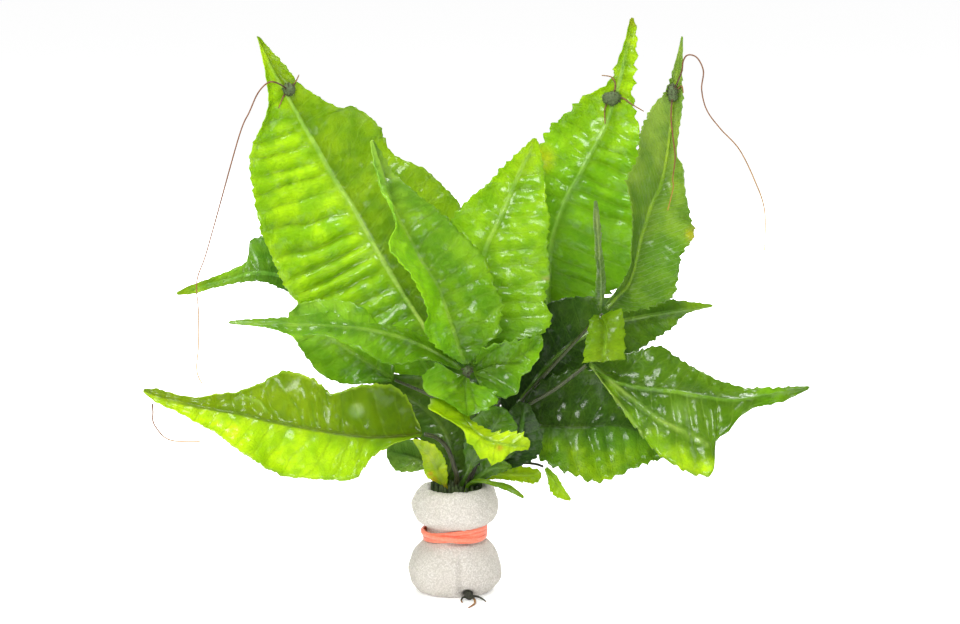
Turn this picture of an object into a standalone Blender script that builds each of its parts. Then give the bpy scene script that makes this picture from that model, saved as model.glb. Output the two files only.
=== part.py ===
# A bunch of fern fronds. Their bases are wrapped in a strip of foam that is tied with a rubber
# band, and the bunch stands on the flat lower edge of the foam. Metres, +Z up, seen from -Y.
import math

import bmesh
import bpy
from mathutils import Vector, noise
from mathutils.bvhtree import BVHTree

MM = 0.001

# The fronds are drawn as an eye in front of the bunch sees them, in millimetres: how far
# right, how far up, and how far behind the foot's centre each point lies.
EYE_DISTANCE = 800.0
EYE_DOWN = math.radians(9.0)
EYE_AIM = (6.8, 82.6)
FOOT_SEEN = (-0.5, 1.2)

# The foam strip: an hourglass, pulled in by the band at its waist, with a throat in its top.
FOAM_PROFILE = (
    (10.2, 0.0), (11.5, 0.8), (12.9, 3.0), (13.5, 6.5), (12.9, 9.8), (11.3, 12.6), (9.6, 14.4),
    (8.2, 15.0), (8.2, 19.7), (9.9, 20.2), (12.0, 22.0), (12.7, 24.3), (12.3, 27.4), (11.2, 29.8),
    (9.8, 30.9), (8.2, 30.5), (7.0, 28.4), (6.5, 25.4),
)
FOAM_STEPS = 24
FOAM_CREASE = 0.35

# The rubber band: one loop wound three times, then led back across its own turns.
BAND_TURNS = 3
BAND_RADIUS = 9.25
BAND_STRAND = 0.52
BAND_PITCH = 1.15
BAND_HEIGHT = 17.3
BAND_CROSSING = 1.3
BAND_CROSSING_TURN = 0.3
BAND_POINTS_A_TURN = 22

# The creeping stem that the fronds grow from runs down through the foam to its front edge.
RHIZOME_PATH = (
    (0.3, 0.6, 26.3), (0.2, 0.2, 22.0), (0.9, -1.6, 14.0), (2.2, -5.4, 7.0), (3.8, -9.3, 3.4),
    (4.6, -12.6, 2.3),
)
RHIZOME_RADII = (4.9, 3.4, 2.8, 2.6, 2.3, 1.7)
ROOTLETS = (
    ((4.4, -12.2, 2.2), (3.6, -14.2, 1.0), (3.3, -16.2, 0.45), (2.6, -18.0, 0.45)),
    ((5.0, -12.4, 2.2), (6.4, -14.6, 1.1), (6.2, -17.6, 0.45), (4.4, -21.5, 0.45)),
)
ROOTLET_RADIUS = 0.4
CLEARANCE = 0.45

STALK_SIDES = 2
ROOT_RADIUS = 0.32
BUD_GAP = 0.82
ROOT_GAP = 1.1
FRONT_BUD_BACK = -11.2
LEAF_THICKNESS = 0.8
LEAF_ROWS = 10
LEAF_COLUMNS = 4
LEAF_ENDS = (0.0, 0.985)
LEAF_BULGE_WIDTH = 6.0
BAND_TURN_REACH = 4.0
LOBES = ((3.0, 1.0), (7.0, 0.6))
LOBE_TWIST = 0.15
THROAT_EDGE = 0.7
BUD_LUMPS = (0.2, 1.7)
SHORT_ROOT_RADII = (0.42, 0.27)
ROOT_TAPER = 0.7
SIGHT_REACH = 150.0

FRESH_GREEN = (0.30, 0.52, 0.03)
YELLOW_GREEN = (0.42, 0.58, 0.03)
DEEP_GREEN = (0.10, 0.24, 0.03)
PALE_GREEN = (0.25, 0.40, 0.10)
STALK_BROWN = (0.09, 0.07, 0.02)
ROOT_RUST = (0.45, 0.20, 0.06)
BUD_DARK = (0.07, 0.10, 0.03)


# The scene's objects are removed first, so that the file builds the same bunch each time.
for leftover in list(bpy.data.objects):
    bpy.data.objects.remove(leftover, do_unlink=True)


def seen(right, up, back):
    """The point at a depth behind the foot's centre that the eye sees at this place."""
    tilt_up = Vector((0.0, math.sin(EYE_DOWN), math.cos(EYE_DOWN)))
    ahead = Vector((0.0, math.cos(EYE_DOWN), -math.sin(EYE_DOWN)))
    aim = Vector((EYE_AIM[0] - FOOT_SEEN[0], 0.0, 0.0)) + tilt_up * (EYE_AIM[1] - FOOT_SEEN[1])
    eye = aim - ahead * EYE_DISTANCE
    target = Vector((right - FOOT_SEEN[0], 0.0, 0.0)) + tilt_up * (up - FOOT_SEEN[1])
    sight = target - eye
    return eye + sight * ((back - eye.y) / sight.y)


def smooth_path(points, steps=8):
    """A smooth curve through the points, as a dense list."""
    ends = [points[0]] + list(points) + [points[-1]]
    dense = []
    for index in range(1, len(ends) - 2):
        before, start, end, after = ends[index - 1:index + 3]
        for step in range(steps):
            t = step / steps
            dense.append(
                0.5 * (2 * start + (end - before) * t
                       + (2 * before - 5 * start + 4 * end - after) * t * t
                       + (3 * start - before - 3 * end + after) * t * t * t)
            )
    dense.append(points[-1].copy())
    return dense


class Edge:
    """A smooth curve that is read by the share of its length."""

    def __init__(self, points):
        self.points = smooth_path(points)
        self.marks = [0.0]
        for first, second in zip(self.points, self.points[1:]):
            self.marks.append(self.marks[-1] + (second - first).length)

    def at(self, share):
        mark = min(max(share, 0.0), 1.0) * self.marks[-1]
        index = 0
        while index < len(self.marks) - 2 and self.marks[index + 1] < mark:
            index += 1
        span = self.marks[index + 1] - self.marks[index]
        return self.points[index].lerp(self.points[index + 1], (mark - self.marks[index]) / max(span, 1e-9))


def material(name, colour, roughness=0.5):
    made = bpy.data.materials.new(name)
    made.use_nodes = True
    shader = made.node_tree.nodes["Principled BSDF"]
    shader.inputs["Base Color"].default_value = (*colour, 1.0)
    shader.inputs["Roughness"].default_value = roughness
    shader.inputs["Metallic"].default_value = 0.0
    return made


def add_mesh(name, bm, colour, roughness=0.5):
    """Turn a bmesh in millimetres into a named object in metres."""
    bmesh.ops.scale(bm, vec=(MM, MM, MM), verts=bm.verts)
    mesh = bpy.data.meshes.new(name)
    bm.to_mesh(mesh)
    bm.free()
    mesh.shade_smooth()
    made = bpy.data.objects.new(name, mesh)
    made.data.materials.append(material(name, colour, roughness))
    bpy.context.scene.collection.objects.link(made)
    return made


def leaf(name, left, mid, right, colour, arch=1.0, rows=LEAF_ROWS):
    """A blade between its left margin, midrib and right margin, each from base to tip."""
    left_edge, mid_edge, right_edge = (Edge([seen(*point) for point in side]) for side in (left, mid, right))
    bm = bmesh.new()
    bmesh.ops.create_grid(bm, x_segments=LEAF_COLUMNS, y_segments=rows, size=1.0)
    for vert in bm.verts:
        share = LEAF_ENDS[0] + (LEAF_ENDS[1] - LEAF_ENDS[0]) * (vert.co.y + 1.0) / 2.0
        side = vert.co.x
        centre = mid_edge.at(share)
        margin = (left_edge if side < 0 else right_edge).at(share)
        along = mid_edge.at(share + 0.02) - mid_edge.at(share - 0.02)
        bulge = along.cross(right_edge.at(share) - left_edge.at(share)).normalized()
        width = min(1.0, (margin - centre).length / LEAF_BULGE_WIDTH)
        vert.co = centre.lerp(margin, abs(side)) + bulge * arch * width * 4.0 * abs(side) * (1.0 - abs(side))
    made = add_mesh(name, bm, colour, 0.4)
    wall = made.modifiers.new("thickness", "SOLIDIFY")
    wall.thickness = LEAF_THICKNESS * MM
    wall.offset = 0.0
    return made


def stalk(name, points, start_radius, end_radius, colour, roughness=0.5, steps=3):
    """A round stalk or root along a smooth route, thinner towards its end."""
    route = smooth_path(points, steps)
    curve = bpy.data.curves.new(name, "CURVE")
    curve.dimensions = "3D"
    curve.bevel_depth = MM
    curve.bevel_resolution = STALK_SIDES - 1
    curve.use_fill_caps = True
    spline = curve.splines.new("POLY")
    spline.points.add(len(route) - 1)
    for index, point in enumerate(route):
        spline.points[index].co = (*(point * MM), 1.0)
        share = index / (len(route) - 1)
        spline.points[index].radius = start_radius + (end_radius - start_radius) * share
    made = bpy.data.objects.new(name, curve)
    made.data.materials.append(material(name, colour, roughness))
    bpy.context.scene.collection.objects.link(made)
    return made


def tube(bm, points, radii, sides=10):
    """A round tube with closed ends, swept in the bmesh along the points."""
    ring = None
    for index, point in enumerate(points):
        ahead = points[min(index + 1, len(points) - 1)] - points[max(index - 1, 0)]
        turn = ahead.to_track_quat("Z", "Y").to_matrix().to_4x4()
        turn.translation = point
        made = bmesh.ops.create_circle(bm, cap_ends=False, segments=sides, radius=radii[index], matrix=turn)
        edges = list({edge for vert in made["verts"] for edge in vert.link_edges})
        if ring is None:
            bmesh.ops.contextual_create(bm, geom=edges)
        else:
            bmesh.ops.bridge_loops(bm, edges=ring + edges)
        ring = edges
    bmesh.ops.contextual_create(bm, geom=ring)
    bmesh.ops.recalc_face_normals(bm, faces=bm.faces)


def join(base, name, cutter, operation):
    """A Boolean of the base with a guide object that is not part of the bunch."""
    cutter.hide_render = True
    cutter.display_type = "WIRE"
    step = base.modifiers.new(name, "BOOLEAN")
    step.operation = operation
    step.object = cutter
    return step


# The foam wrap is a porous strip, wound round the frond bases and squeezed at its waist.
def build_foam():
    bm = bmesh.new()
    outline = [bm.verts.new((0.0, 0.0, 0.0))]
    for radius, height in FOAM_PROFILE:
        outline.append(bm.verts.new((radius, 0.0, height)))
    outline.append(bm.verts.new((0.0, 0.0, FOAM_PROFILE[-1][1])))
    edges = [bm.edges.new(pair) for pair in zip(outline, outline[1:])]
    bmesh.ops.spin(bm, geom=outline + edges, cent=(0, 0, 0), axis=(0, 0, 1), angle=math.tau,
                   steps=FOAM_STEPS, use_merge=True)
    bmesh.ops.remove_doubles(bm, verts=bm.verts, dist=0.001)
    for vert in bm.verts:
        angle = math.atan2(vert.co.y, vert.co.x)
        reach = vert.co.xy.length
        lobe = 1.0 - math.exp(-((vert.co.z - BAND_HEIGHT) / BAND_TURN_REACH) ** 2)
        if reach > FOAM_PROFILE[-1][0] + THROAT_EDGE:
            waves = [size * math.sin(count * angle + LOBE_TWIST * vert.co.z) for count, size in LOBES]
            swell = FOAM_CREASE * lobe * sum(waves)
            vert.co.xy *= 1.0 + swell / reach
    bmesh.ops.recalc_face_normals(bm, faces=bm.faces)
    foam = add_mesh("foam_wrap", bm, (0.72, 0.69, 0.64), 0.95)
    join(foam, "rhizome channel", rhizome_channel(), "DIFFERENCE")
    return foam


def rhizome_channel():
    path = [Vector(point) for point in RHIZOME_PATH]
    path.insert(0, path[0] + Vector((0.0, 0.0, 2.0)))
    path.append(path[-1] + Vector((0.8, -4.0, -1.0)))
    radii = [radius + CLEARANCE for radius in RHIZOME_RADII]
    radii = radii[:1] + radii + radii[-1:]
    bm = bmesh.new()
    tube(bm, path, radii)
    return add_mesh("channel_guide", bm, BUD_DARK)


def build_band():
    """Each turn climbs by one strand, and the last stretch crosses back over the others."""
    count = BAND_TURNS * BAND_POINTS_A_TURN
    curve = bpy.data.curves.new("rubber_band", "CURVE")
    curve.dimensions = "3D"
    curve.bevel_depth = BAND_STRAND * MM
    curve.bevel_resolution = 1
    spline = curve.splines.new("POLY")
    spline.points.add(count - 1)
    for index in range(count):
        share = index / count
        turns = share * BAND_TURNS
        angle = math.pi / 2.0 + math.tau * turns
        climbing = BAND_TURNS - BAND_CROSSING_TURN
        back = max(0.0, (turns - climbing) / BAND_CROSSING_TURN)
        ease = back * back * (3.0 - 2.0 * back)
        height = BAND_HEIGHT + BAND_PITCH * (min(turns, climbing) * (1.0 - ease) - climbing / 2.0)
        reach = BAND_RADIUS + BAND_CROSSING * math.sin(math.pi * back) ** 0.5
        spline.points[index].co = (
            reach * math.cos(angle) * MM, reach * math.sin(angle) * MM, height * MM, 1.0)
    spline.use_cyclic_u = True
    band = bpy.data.objects.new("rubber_band", curve)
    band.data.materials.append(material("rubber_band", (0.85, 0.17, 0.11), 0.45))
    bpy.context.scene.collection.objects.link(band)
    return band


def build_rhizome():
    bm = bmesh.new()
    tube(bm, [Vector(point) for point in RHIZOME_PATH], RHIZOME_RADII)
    rhizome = add_mesh("rhizome", bm, BUD_DARK, 0.7)
    for number, route in enumerate(ROOTLETS):
        bm = bmesh.new()
        path = smooth_path([Vector(point) for point in route], 3)
        tube(bm, path, [ROOTLET_RADIUS] * len(path), sides=6)
        join(rhizome, "rootlet %d" % number, add_mesh("rootlet_guide_%d" % number, bm, ROOT_RUST), "UNION")
    return rhizome


def in_front(blade, right, up, clearance):
    """The place that the eye sees on a blade, brought nearer by the clearance."""
    near = seen(right, up, -SIGHT_REACH)
    far = seen(right, up, SIGHT_REACH)
    tree = BVHTree.FromObject(bpy.data.objects[blade], bpy.context.evaluated_depsgraph_get())
    hit = tree.ray_cast(near * MM, (far - near).normalized())[0]
    return hit / MM - (far - near).normalized() * clearance if hit else None


def bud(name, blade, centre, size, roots):
    """A plantlet bud on a blade, with the short roots that grow from it."""
    place = in_front(blade, *centre, size[1] + BUD_GAP) if blade else seen(*centre, FRONT_BUD_BACK)
    bm = bmesh.new()
    bmesh.ops.create_icosphere(bm, subdivisions=2, radius=1.0)
    for vert in bm.verts:
        rough = 1.0 + BUD_LUMPS[0] * noise.noise(vert.co * BUD_LUMPS[1] + Vector((centre[0], 0.0, 0.0)))
        vert.co = Vector((vert.co.x * size[0], vert.co.y * size[1], vert.co.z * size[2])) * rough + place
    made = add_mesh(name, bm, BUD_DARK, 0.7)
    for number, route in enumerate(roots):
        bm = bmesh.new()
        path = [place]
        for point in route:
            path.append(in_front(blade, *point, ROOT_GAP) or seen(*point, path[-1].y))
        path = smooth_path(path, 2)
        taper = (SHORT_ROOT_RADII[0] - SHORT_ROOT_RADII[1]) / (len(path) - 1)
        radii = [SHORT_ROOT_RADII[0] - taper * index for index in range(len(path))]
        tube(bm, path, radii, sides=6)
        join(made, "root %d" % number, add_mesh("%s_guide_%d" % (name, number), bm, ROOT_RUST), "UNION")
    return place


def root(name, points, start=None, reach=0.0):
    """A long hair root, seen from its tip's bud, which it leaves at a small distance."""
    route = [seen(*point) for point in points]
    if start:
        route.insert(0, start + (route[0] - start).normalized() * reach)
    return stalk(name, route, ROOT_RADIUS, ROOT_RADIUS * ROOT_TAPER, ROOT_RUST, 0.6, 2)


def crown(angle, height=27.3, reach=2.3):
    """A place on top of the rhizome, by its angle from +X."""
    turn = math.radians(angle)
    return Vector((0.3 + reach * math.cos(turn), 0.6 + reach * math.sin(turn), height))


build_foam()
build_band()
build_rhizome()

# The stalks of the fronds, from the rhizome's top to where their blades begin.
stalk("stem_front", [crown(-80), seen(5.2, 38.0, -3.0), seen(6.6, 46.0, -5.5), seen(5.0, 56.0, -8.0),
                     seen(3.3, 63.8, -9.4)], 0.75, 0.6, STALK_BROWN)
stalk("stem_tall_left", [crown(118), seen(-2.4, 37.0, 6.5), seen(-3.6, 50.0, 10.0), seen(-5.0, 62.0, 10.0),
                         seen(-6.4, 72.0, 7.4)], 0.7, 0.6, STALK_BROWN)
stalk("stem_back_left", [crown(168), seen(-5.4, 35.5, 5.0), seen(-17.0, 53.0, 15.0),
                         seen(-30.0, 76.0, 24.0), seen(-39.2, 90.0, 27.0)], 0.65, 0.5, STALK_BROWN)
stalk("stem_upper_middle", [crown(68), seen(4.0, 38.0, 6.0), seen(12.0, 55.0, 12.0), seen(22.0, 70.0, 17.0),
                            seen(26.3, 79.4, 18.6)], 0.75, 0.6, STALK_BROWN)
stalk("stem_upper_right", [crown(20), seen(6.5, 38.0, 2.6), seen(18.0, 55.0, 7.5), seen(33.0, 72.0, 6.0),
                           seen(42.6, 82.0, 0.4)], 0.75, 0.6, STALK_BROWN)
stalk("stem_right", [crown(-28), seen(8.0, 38.5, -1.2), seen(13.5, 48.5, -2.0), seen(19.0, 54.0, -2.4),
                     seen(29.0, 60.0, -1.8), seen(38.0, 66.9, -1.2)], 0.7, 0.7, STALK_BROWN)
stalk("stem_low_left", [crown(232), seen(0.0, 33.0, -4.4), seen(-0.6, 36.5, -6.4), seen(-2.8, 42.5, -8.6),
                        seen(-6.0, 45.6, -9.2), seen(-9.6, 46.7, -9.6)], 0.75, 0.75, STALK_BROWN)
stalk("stem_crumpled", [seen(3.0, 53.6, -8.4), seen(-4.5, 56.6, -7.4), seen(-12.0, 60.0, -7.0),
                        seen(-18.2, 62.6, -6.6)], 0.6, 0.5, STALK_BROWN)
stalk("stem_torn", [seen(5.0, 48.0, -7.6), seen(3.2, 51.0, -12.0), seen(1.1, 55.3, -17.7)], 0.5, 0.5,
      STALK_BROWN)
stalk("stem_narrow", [crown(12, 27.2, 3.9), seen(5.6, 32.4, 3.4), seen(9.4, 35.6, 3.9),
                      seen(17.0, 38.0, 3.0),
                      seen(22.5, 38.0, 0.6), seen(25.3, 37.2, -1.7)], 0.5, 0.5, STALK_BROWN)

leaf("leaf_tall_left",
     left=((-7.4, 72.4, 7.2), (-17.0, 76.0, 8.0), (-31.5, 77.5, 8.0), (-43.0, 82.0, 8.0),
           (-50.0, 89.0, 7.0),
           (-55.0, 100.5, 6.0), (-58.0, 107.0, 6.0), (-60.5, 122.5, 7.0), (-60.3, 130.0, 8.0),
           (-57.5, 137.5, 10.0), (-55.0, 146.0, 12.0), (-56.0, 152.0, 14.0), (-58.6, 163.5, 16.0)),
     mid=((-6.8, 72.8, 7.4), (-9.7, 78.5, 9.0), (-14.0, 85.0, 11.0), (-19.5, 94.0, 13.0),
          (-30.5, 113.0, 16.0),
          (-37.0, 123.5, 17.5), (-47.0, 141.0, 18.0), (-53.5, 152.5, 17.0), (-59.0, 164.0, 16.0)),
     right=((-6.2, 73.2, 7.6), (-4.0, 79.0, 12.0), (-1.5, 89.0, 17.0), (1.5, 101.0, 20.0),
            (2.0, 112.5, 22.0),
            (-8.0, 123.5, 23.0), (-14.0, 126.5, 23.5), (-19.0, 129.7, 24.0), (-23.0, 138.0, 24.0),
            (-30.5, 143.0, 23.0), (-34.5, 142.6, 22.0), (-43.5, 148.0, 20.0), (-52.0, 156.5, 18.0),
            (-58.4, 163.8, 16.0)),
     colour=FRESH_GREEN, arch=1.2)

leaf("leaf_front_folded",
     left=((2.0, 67.0, -11.4), (-7.0, 73.0, -17.0), (-9.5, 78.0, -19.0), (-8.5, 82.5, -20.5),
           (-12.5, 92.0, -23.0), (-20.0, 101.0, -24.0), (-17.5, 108.5, -22.0), (-19.2, 114.5, -19.0),
           (-22.7, 118.0, -16.0), (-24.8, 129.5, -11.0), (-25.4, 133.0, -10.0)),
     mid=((2.6, 67.2, -11.2), (1.0, 71.0, -12.0), (-1.5, 78.5, -12.0), (-5.0, 88.0, -12.0),
          (-10.0, 97.0, -12.0),
          (-14.5, 105.5, -11.0), (-19.5, 115.5, -10.0), (-22.5, 126.0, -9.5), (-25.0, 133.5, -9.5)),
     right=((3.2, 67.2, -11.2), (9.5, 73.5, -13.0), (13.0, 76.5, -13.0), (13.0, 80.5, -12.0),
            (14.0, 85.0, -11.0),
            (10.5, 91.0, -9.0), (8.0, 98.5, -7.0), (3.5, 104.0, -5.0), (-1.5, 109.5, -4.0),
            (-5.0, 112.5, -3.0), (-12.0, 116.5, -4.0), (-19.5, 126.0, -6.0), (-24.4, 133.0, -9.0)),
     colour=FRESH_GREEN, arch=0.8)

leaf("leaf_centre_right",
     left=((3.9, 66.9, -10.2), (1.5, 75.0, -3.0), (0.0, 90.0, 2.0), (-2.0, 104.0, 6.0), (-1.5, 110.5, 7.0),
           (3.5, 115.5, 8.0), (9.5, 120.5, 8.5), (12.5, 124.5, 9.0), (19.5, 131.0, 9.0),
           (22.5, 133.8, 9.0)),
     mid=((4.5, 66.7, -10.2), (5.5, 83.0, -1.0), (8.0, 99.5, 3.0), (13.0, 110.5, 6.0), (17.0, 120.5, 8.0),
          (23.0, 134.0, 9.0)),
     right=((5.1, 66.4, -10.2), (15.0, 73.0, -7.0), (24.5, 75.5, -6.0), (28.0, 80.5, -5.0),
            (26.0, 85.5, -4.0),
            (27.0, 92.5, -3.0), (27.0, 103.5, 0.0), (27.5, 110.0, 2.0), (26.0, 116.5, 4.0),
            (25.5, 125.5, 7.0), (23.5, 133.8, 9.0)),
     colour=FRESH_GREEN, arch=1.0)

leaf("leaf_upper_middle",
     left=((26.0, 80.4, 19.0), (17.0, 90.0, 20.0), (14.0, 102.0, 22.0), (17.0, 113.0, 24.0),
           (22.5, 124.0, 25.0), (24.5, 132.0, 25.5), (27.0, 137.0, 26.0), (31.5, 140.5, 26.0),
           (37.5, 146.0, 26.0), (44.0, 149.5, 26.0), (46.0, 153.5, 26.0), (49.0, 161.0, 26.0),
           (51.0, 169.0, 26.0)),
     mid=((26.7, 80.4, 19.0), (27.0, 92.0, 20.0), (28.0, 104.0, 21.0), (32.0, 116.0, 22.5),
          (35.5, 122.0, 23.0),
          (39.5, 129.5, 24.0), (43.5, 137.0, 25.0), (48.0, 151.0, 26.0), (51.5, 169.5, 26.0)),
     right=((27.4, 80.4, 19.0), (39.0, 86.0, 22.0), (49.5, 90.5, 23.0), (54.5, 98.0, 22.0),
            (56.0, 106.0, 21.0),
            (55.0, 116.0, 21.0), (53.5, 129.5, 22.0), (54.0, 134.5, 22.5), (52.5, 141.0, 23.5),
            (52.0, 147.0, 24.5), (52.5, 153.5, 25.5), (53.0, 164.0, 26.0), (52.0, 169.3, 26.0)),
     colour=FRESH_GREEN, arch=1.0)

leaf("leaf_upper_right",
     left=((43.0, 83.6, 0.8), (46.0, 88.0, 2.0), (49.0, 92.5, 4.0), (51.5, 97.0, 5.5), (51.5, 104.0, 6.5),
           (51.5, 109.5, 7.0), (51.0, 115.0, 7.0), (50.0, 121.5, 7.0), (53.0, 128.0, 8.5),
           (54.0, 136.0, 10.5),
           (57.5, 143.0, 12.5), (61.5, 148.0, 14.0), (64.5, 157.0, 15.0), (66.0, 163.5, 15.0)),
     mid=((43.6, 83.3, 0.7), (47.5, 87.5, 4.0), (51.2, 92.0, 8.0), (53.8, 103.0, 11.0), (57.0, 113.5, 12.5),
          (60.5, 121.5, 13.5), (63.0, 137.0, 14.5), (63.8, 145.0, 15.0), (66.2, 164.0, 15.0)),
     right=((44.2, 83.0, 0.7), (53.0, 83.0, 5.0), (62.5, 86.0, 8.0), (64.5, 92.0, 9.0), (66.0, 99.0, 8.5),
            (70.0, 105.0, 7.0), (68.5, 111.0, 7.5), (67.0, 119.0, 9.0), (66.5, 125.5, 10.5),
            (64.8, 128.5, 11.0), (65.5, 136.5, 12.0), (66.5, 145.5, 13.5), (66.3, 150.0, 14.5),
            (66.5, 163.8, 15.0)),
     colour=PALE_GREEN, arch=0.8)

leaf("leaf_back_left",
     left=((-40.2, 90.2, 27.2), (-48.0, 88.4, 27.0), (-56.5, 91.3, 26.0), (-63.5, 91.3, 25.0),
           (-72.5, 89.4, 24.0), (-77.0, 88.0, 23.0), (-82.3, 87.6, 22.0)),
     mid=((-39.8, 90.8, 27.2), (-50.0, 93.0, 28.0), (-59.5, 94.0, 27.0), (-68.0, 92.0, 25.5),
          (-76.0, 89.8, 24.0),
          (-82.6, 88.0, 22.0)),
     right=((-39.4, 91.4, 27.2), (-45.0, 99.0, 31.0), (-53.5, 104.0, 32.0), (-60.5, 104.0, 31.0),
            (-61.0, 98.6, 29.0), (-66.0, 95.4, 27.5), (-73.0, 92.4, 25.0), (-79.0, 90.2, 23.5),
            (-82.4, 88.4, 22.0)),
     colour=DEEP_GREEN, arch=0.0)

leaf("leaf_left_pointed",
     left=((1.2, 65.5, -10.4), (-9.0, 68.4, -17.0), (-16.0, 67.5, -22.0), (-21.0, 67.6, -25.0),
           (-27.0, 70.5, -27.0), (-33.5, 74.0, -28.5), (-39.5, 76.3, -29.0), (-48.0, 75.6, -29.0),
           (-57.0, 78.2, -28.5), (-67.0, 79.2, -27.0)),
     mid=((1.0, 66.1, -10.2), (-7.5, 71.5, -13.0), (-17.5, 75.5, -18.0), (-30.5, 78.0, -22.5),
          (-50.5, 79.0, -26.0), (-67.5, 79.5, -27.0)),
     right=((0.8, 66.7, -10.0), (-5.5, 73.6, -11.0), (-12.5, 77.0, -14.4), (-19.5, 78.6, -17.6),
            (-31.0, 80.0, -21.0), (-36.0, 82.8, -20.5), (-41.5, 82.0, -22.5), (-52.0, 81.2, -25.0),
            (-59.0, 80.8, -26.0), (-67.0, 79.9, -27.0)),
     colour=FRESH_GREEN, arch=0.8)

leaf("leaf_left_crumpled",
     left=((-18.9, 62.2, -6.6), (-31.0, 61.5, -8.0), (-39.5, 64.0, -9.0), (-44.0, 68.5, -9.0),
           (-46.6, 72.0, -9.0),
           (-49.0, 76.5, -8.0), (-50.0, 80.0, -6.4)),
     mid=((-18.8, 62.8, -6.5), (-28.0, 69.0, -5.0), (-38.0, 75.6, -3.5), (-49.5, 81.0, -5.6)),
     right=((-18.7, 63.4, -6.4), (-19.0, 72.0, -4.0), (-27.0, 83.0, -1.0), (-38.0, 86.6, 0.0),
            (-45.5, 85.4, -2.0), (-49.4, 82.4, -4.8)),
     colour=FRESH_GREEN, arch=0.8)

leaf("leaf_low_left",
     left=((-10.3, 46.1, -9.8), (-17.5, 44.2, -14.0), (-24.0, 40.5, -19.0), (-28.0, 36.0, -22.0),
           (-31.5, 33.0, -24.0), (-44.5, 34.0, -27.0), (-55.5, 36.0, -28.0), (-62.5, 40.5, -28.0),
           (-67.0, 44.5, -27.0), (-71.0, 48.0, -25.0), (-80.0, 52.0, -21.0), (-87.5, 55.5, -18.0),
           (-92.3, 59.0, -16.0)),
     mid=((-10.3, 46.8, -9.8), (-16.5, 46.2, -12.0), (-26.0, 46.0, -15.0), (-39.0, 47.5, -18.0),
          (-55.0, 50.5, -19.0), (-61.0, 52.0, -19.0), (-75.5, 55.0, -18.0), (-87.5, 57.5, -17.0),
          (-92.5, 59.5, -16.0)),
     right=((-10.3, 47.5, -9.8), (-13.4, 55.6, -9.4), (-18.5, 60.4, -9.6), (-25.5, 61.4, -11.4),
            (-31.5, 60.4, -13.0), (-36.5, 59.0, -14.0), (-42.5, 63.0, -11.5), (-49.5, 65.0, -10.0),
            (-53.5, 64.4, -10.0),
            (-60.0, 61.0, -12.0), (-67.0, 58.5, -14.0), (-77.0, 57.5, -15.0), (-87.5, 60.0, -15.5),
            (-92.3, 60.0, -16.0)),
     colour=YELLOW_GREEN, arch=1.2)

leaf("leaf_small_round",
     left=((-4.5, 27.9, 1.2), (-5.4, 32.0, 1.0), (-8.6, 36.2, 1.2), (-13.0, 35.6, 1.2),
           (-18.0, 36.0, 1.4), (-20.6, 40.0, 2.0)),
     mid=((-4.4, 28.0, 1.5), (-5.2, 32.3, 1.5), (-8.5, 37.4, 2.0), (-13.0, 40.0, 2.5), (-20.8, 41.5, 2.6)),
     right=((-4.3, 28.1, 1.8), (-5.0, 32.6, 2.0), (-8.2, 39.6, 2.8), (-12.5, 44.8, 3.6),
            (-17.5, 45.0, 3.6), (-20.6, 43.0, 3.0)),
     colour=DEEP_GREEN, arch=0.5, rows=6)

leaf("leaf_spotted",
     left=((-3.0, 27.7, -2.2), (-4.6, 31.6, -3.6), (-8.8, 34.0, -7.0), (-9.8, 36.8, -9.0),
           (-10.4, 40.5, -10.6),
           (-12.8, 44.6, -12.0)),
     mid=((-2.6, 27.6, -2.5), (-3.6, 31.6, -4.0), (-5.9, 36.2, -7.4), (-8.2, 40.8, -10.2),
          (-13.0, 45.0, -12.0)),
     right=((-2.2, 27.5, -2.8), (-2.8, 31.4, -4.4), (-2.8, 36.6, -8.0), (-4.0, 40.0, -10.4),
            (-7.0, 43.6, -12.0),
            (-12.8, 45.4, -12.2)),
     colour=YELLOW_GREEN, arch=0.3, rows=6)

leaf("leaflet_front_left",
     left=((1.9, 63.2, -12.2), (-1.8, 65.6, -16.0), (-6.0, 68.2, -19.6), (-10.4, 63.0, -22.5),
           (-8.4, 58.6, -24.0), (-3.6, 55.8, -25.4), (2.5, 52.3, -27.0)),
     mid=((2.5, 63.0, -12.4), (2.4, 58.0, -18.0), (3.2, 52.0, -26.0)),
     right=((3.1, 62.8, -12.4), (6.8, 60.6, -16.5), (11.0, 58.4, -20.5), (12.0, 56.0, -23.0),
            (9.0, 53.4, -25.0), (4.0, 52.2, -26.4)),
     colour=FRESH_GREEN, arch=0.8, rows=8)

leaf("leaflet_front_right",
     left=((4.8, 65.1, -11.6), (6.5, 71.0, -15.5), (12.0, 73.5, -16.0), (18.0, 74.5, -14.5),
           (25.0, 75.9, -12.0)),
     mid=((5.0, 64.5, -11.8), (12.5, 67.0, -13.5), (20.5, 71.0, -13.0), (25.2, 75.2, -12.0)),
     right=((5.2, 63.9, -12.0), (9.0, 59.6, -15.0), (14.0, 57.4, -17.0), (18.0, 59.0, -18.0),
            (18.8, 63.0, -17.5),
            (22.0, 66.0, -16.5), (24.8, 71.0, -14.5), (25.4, 74.6, -12.2)),
     colour=FRESH_GREEN, arch=0.8, rows=8)

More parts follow.
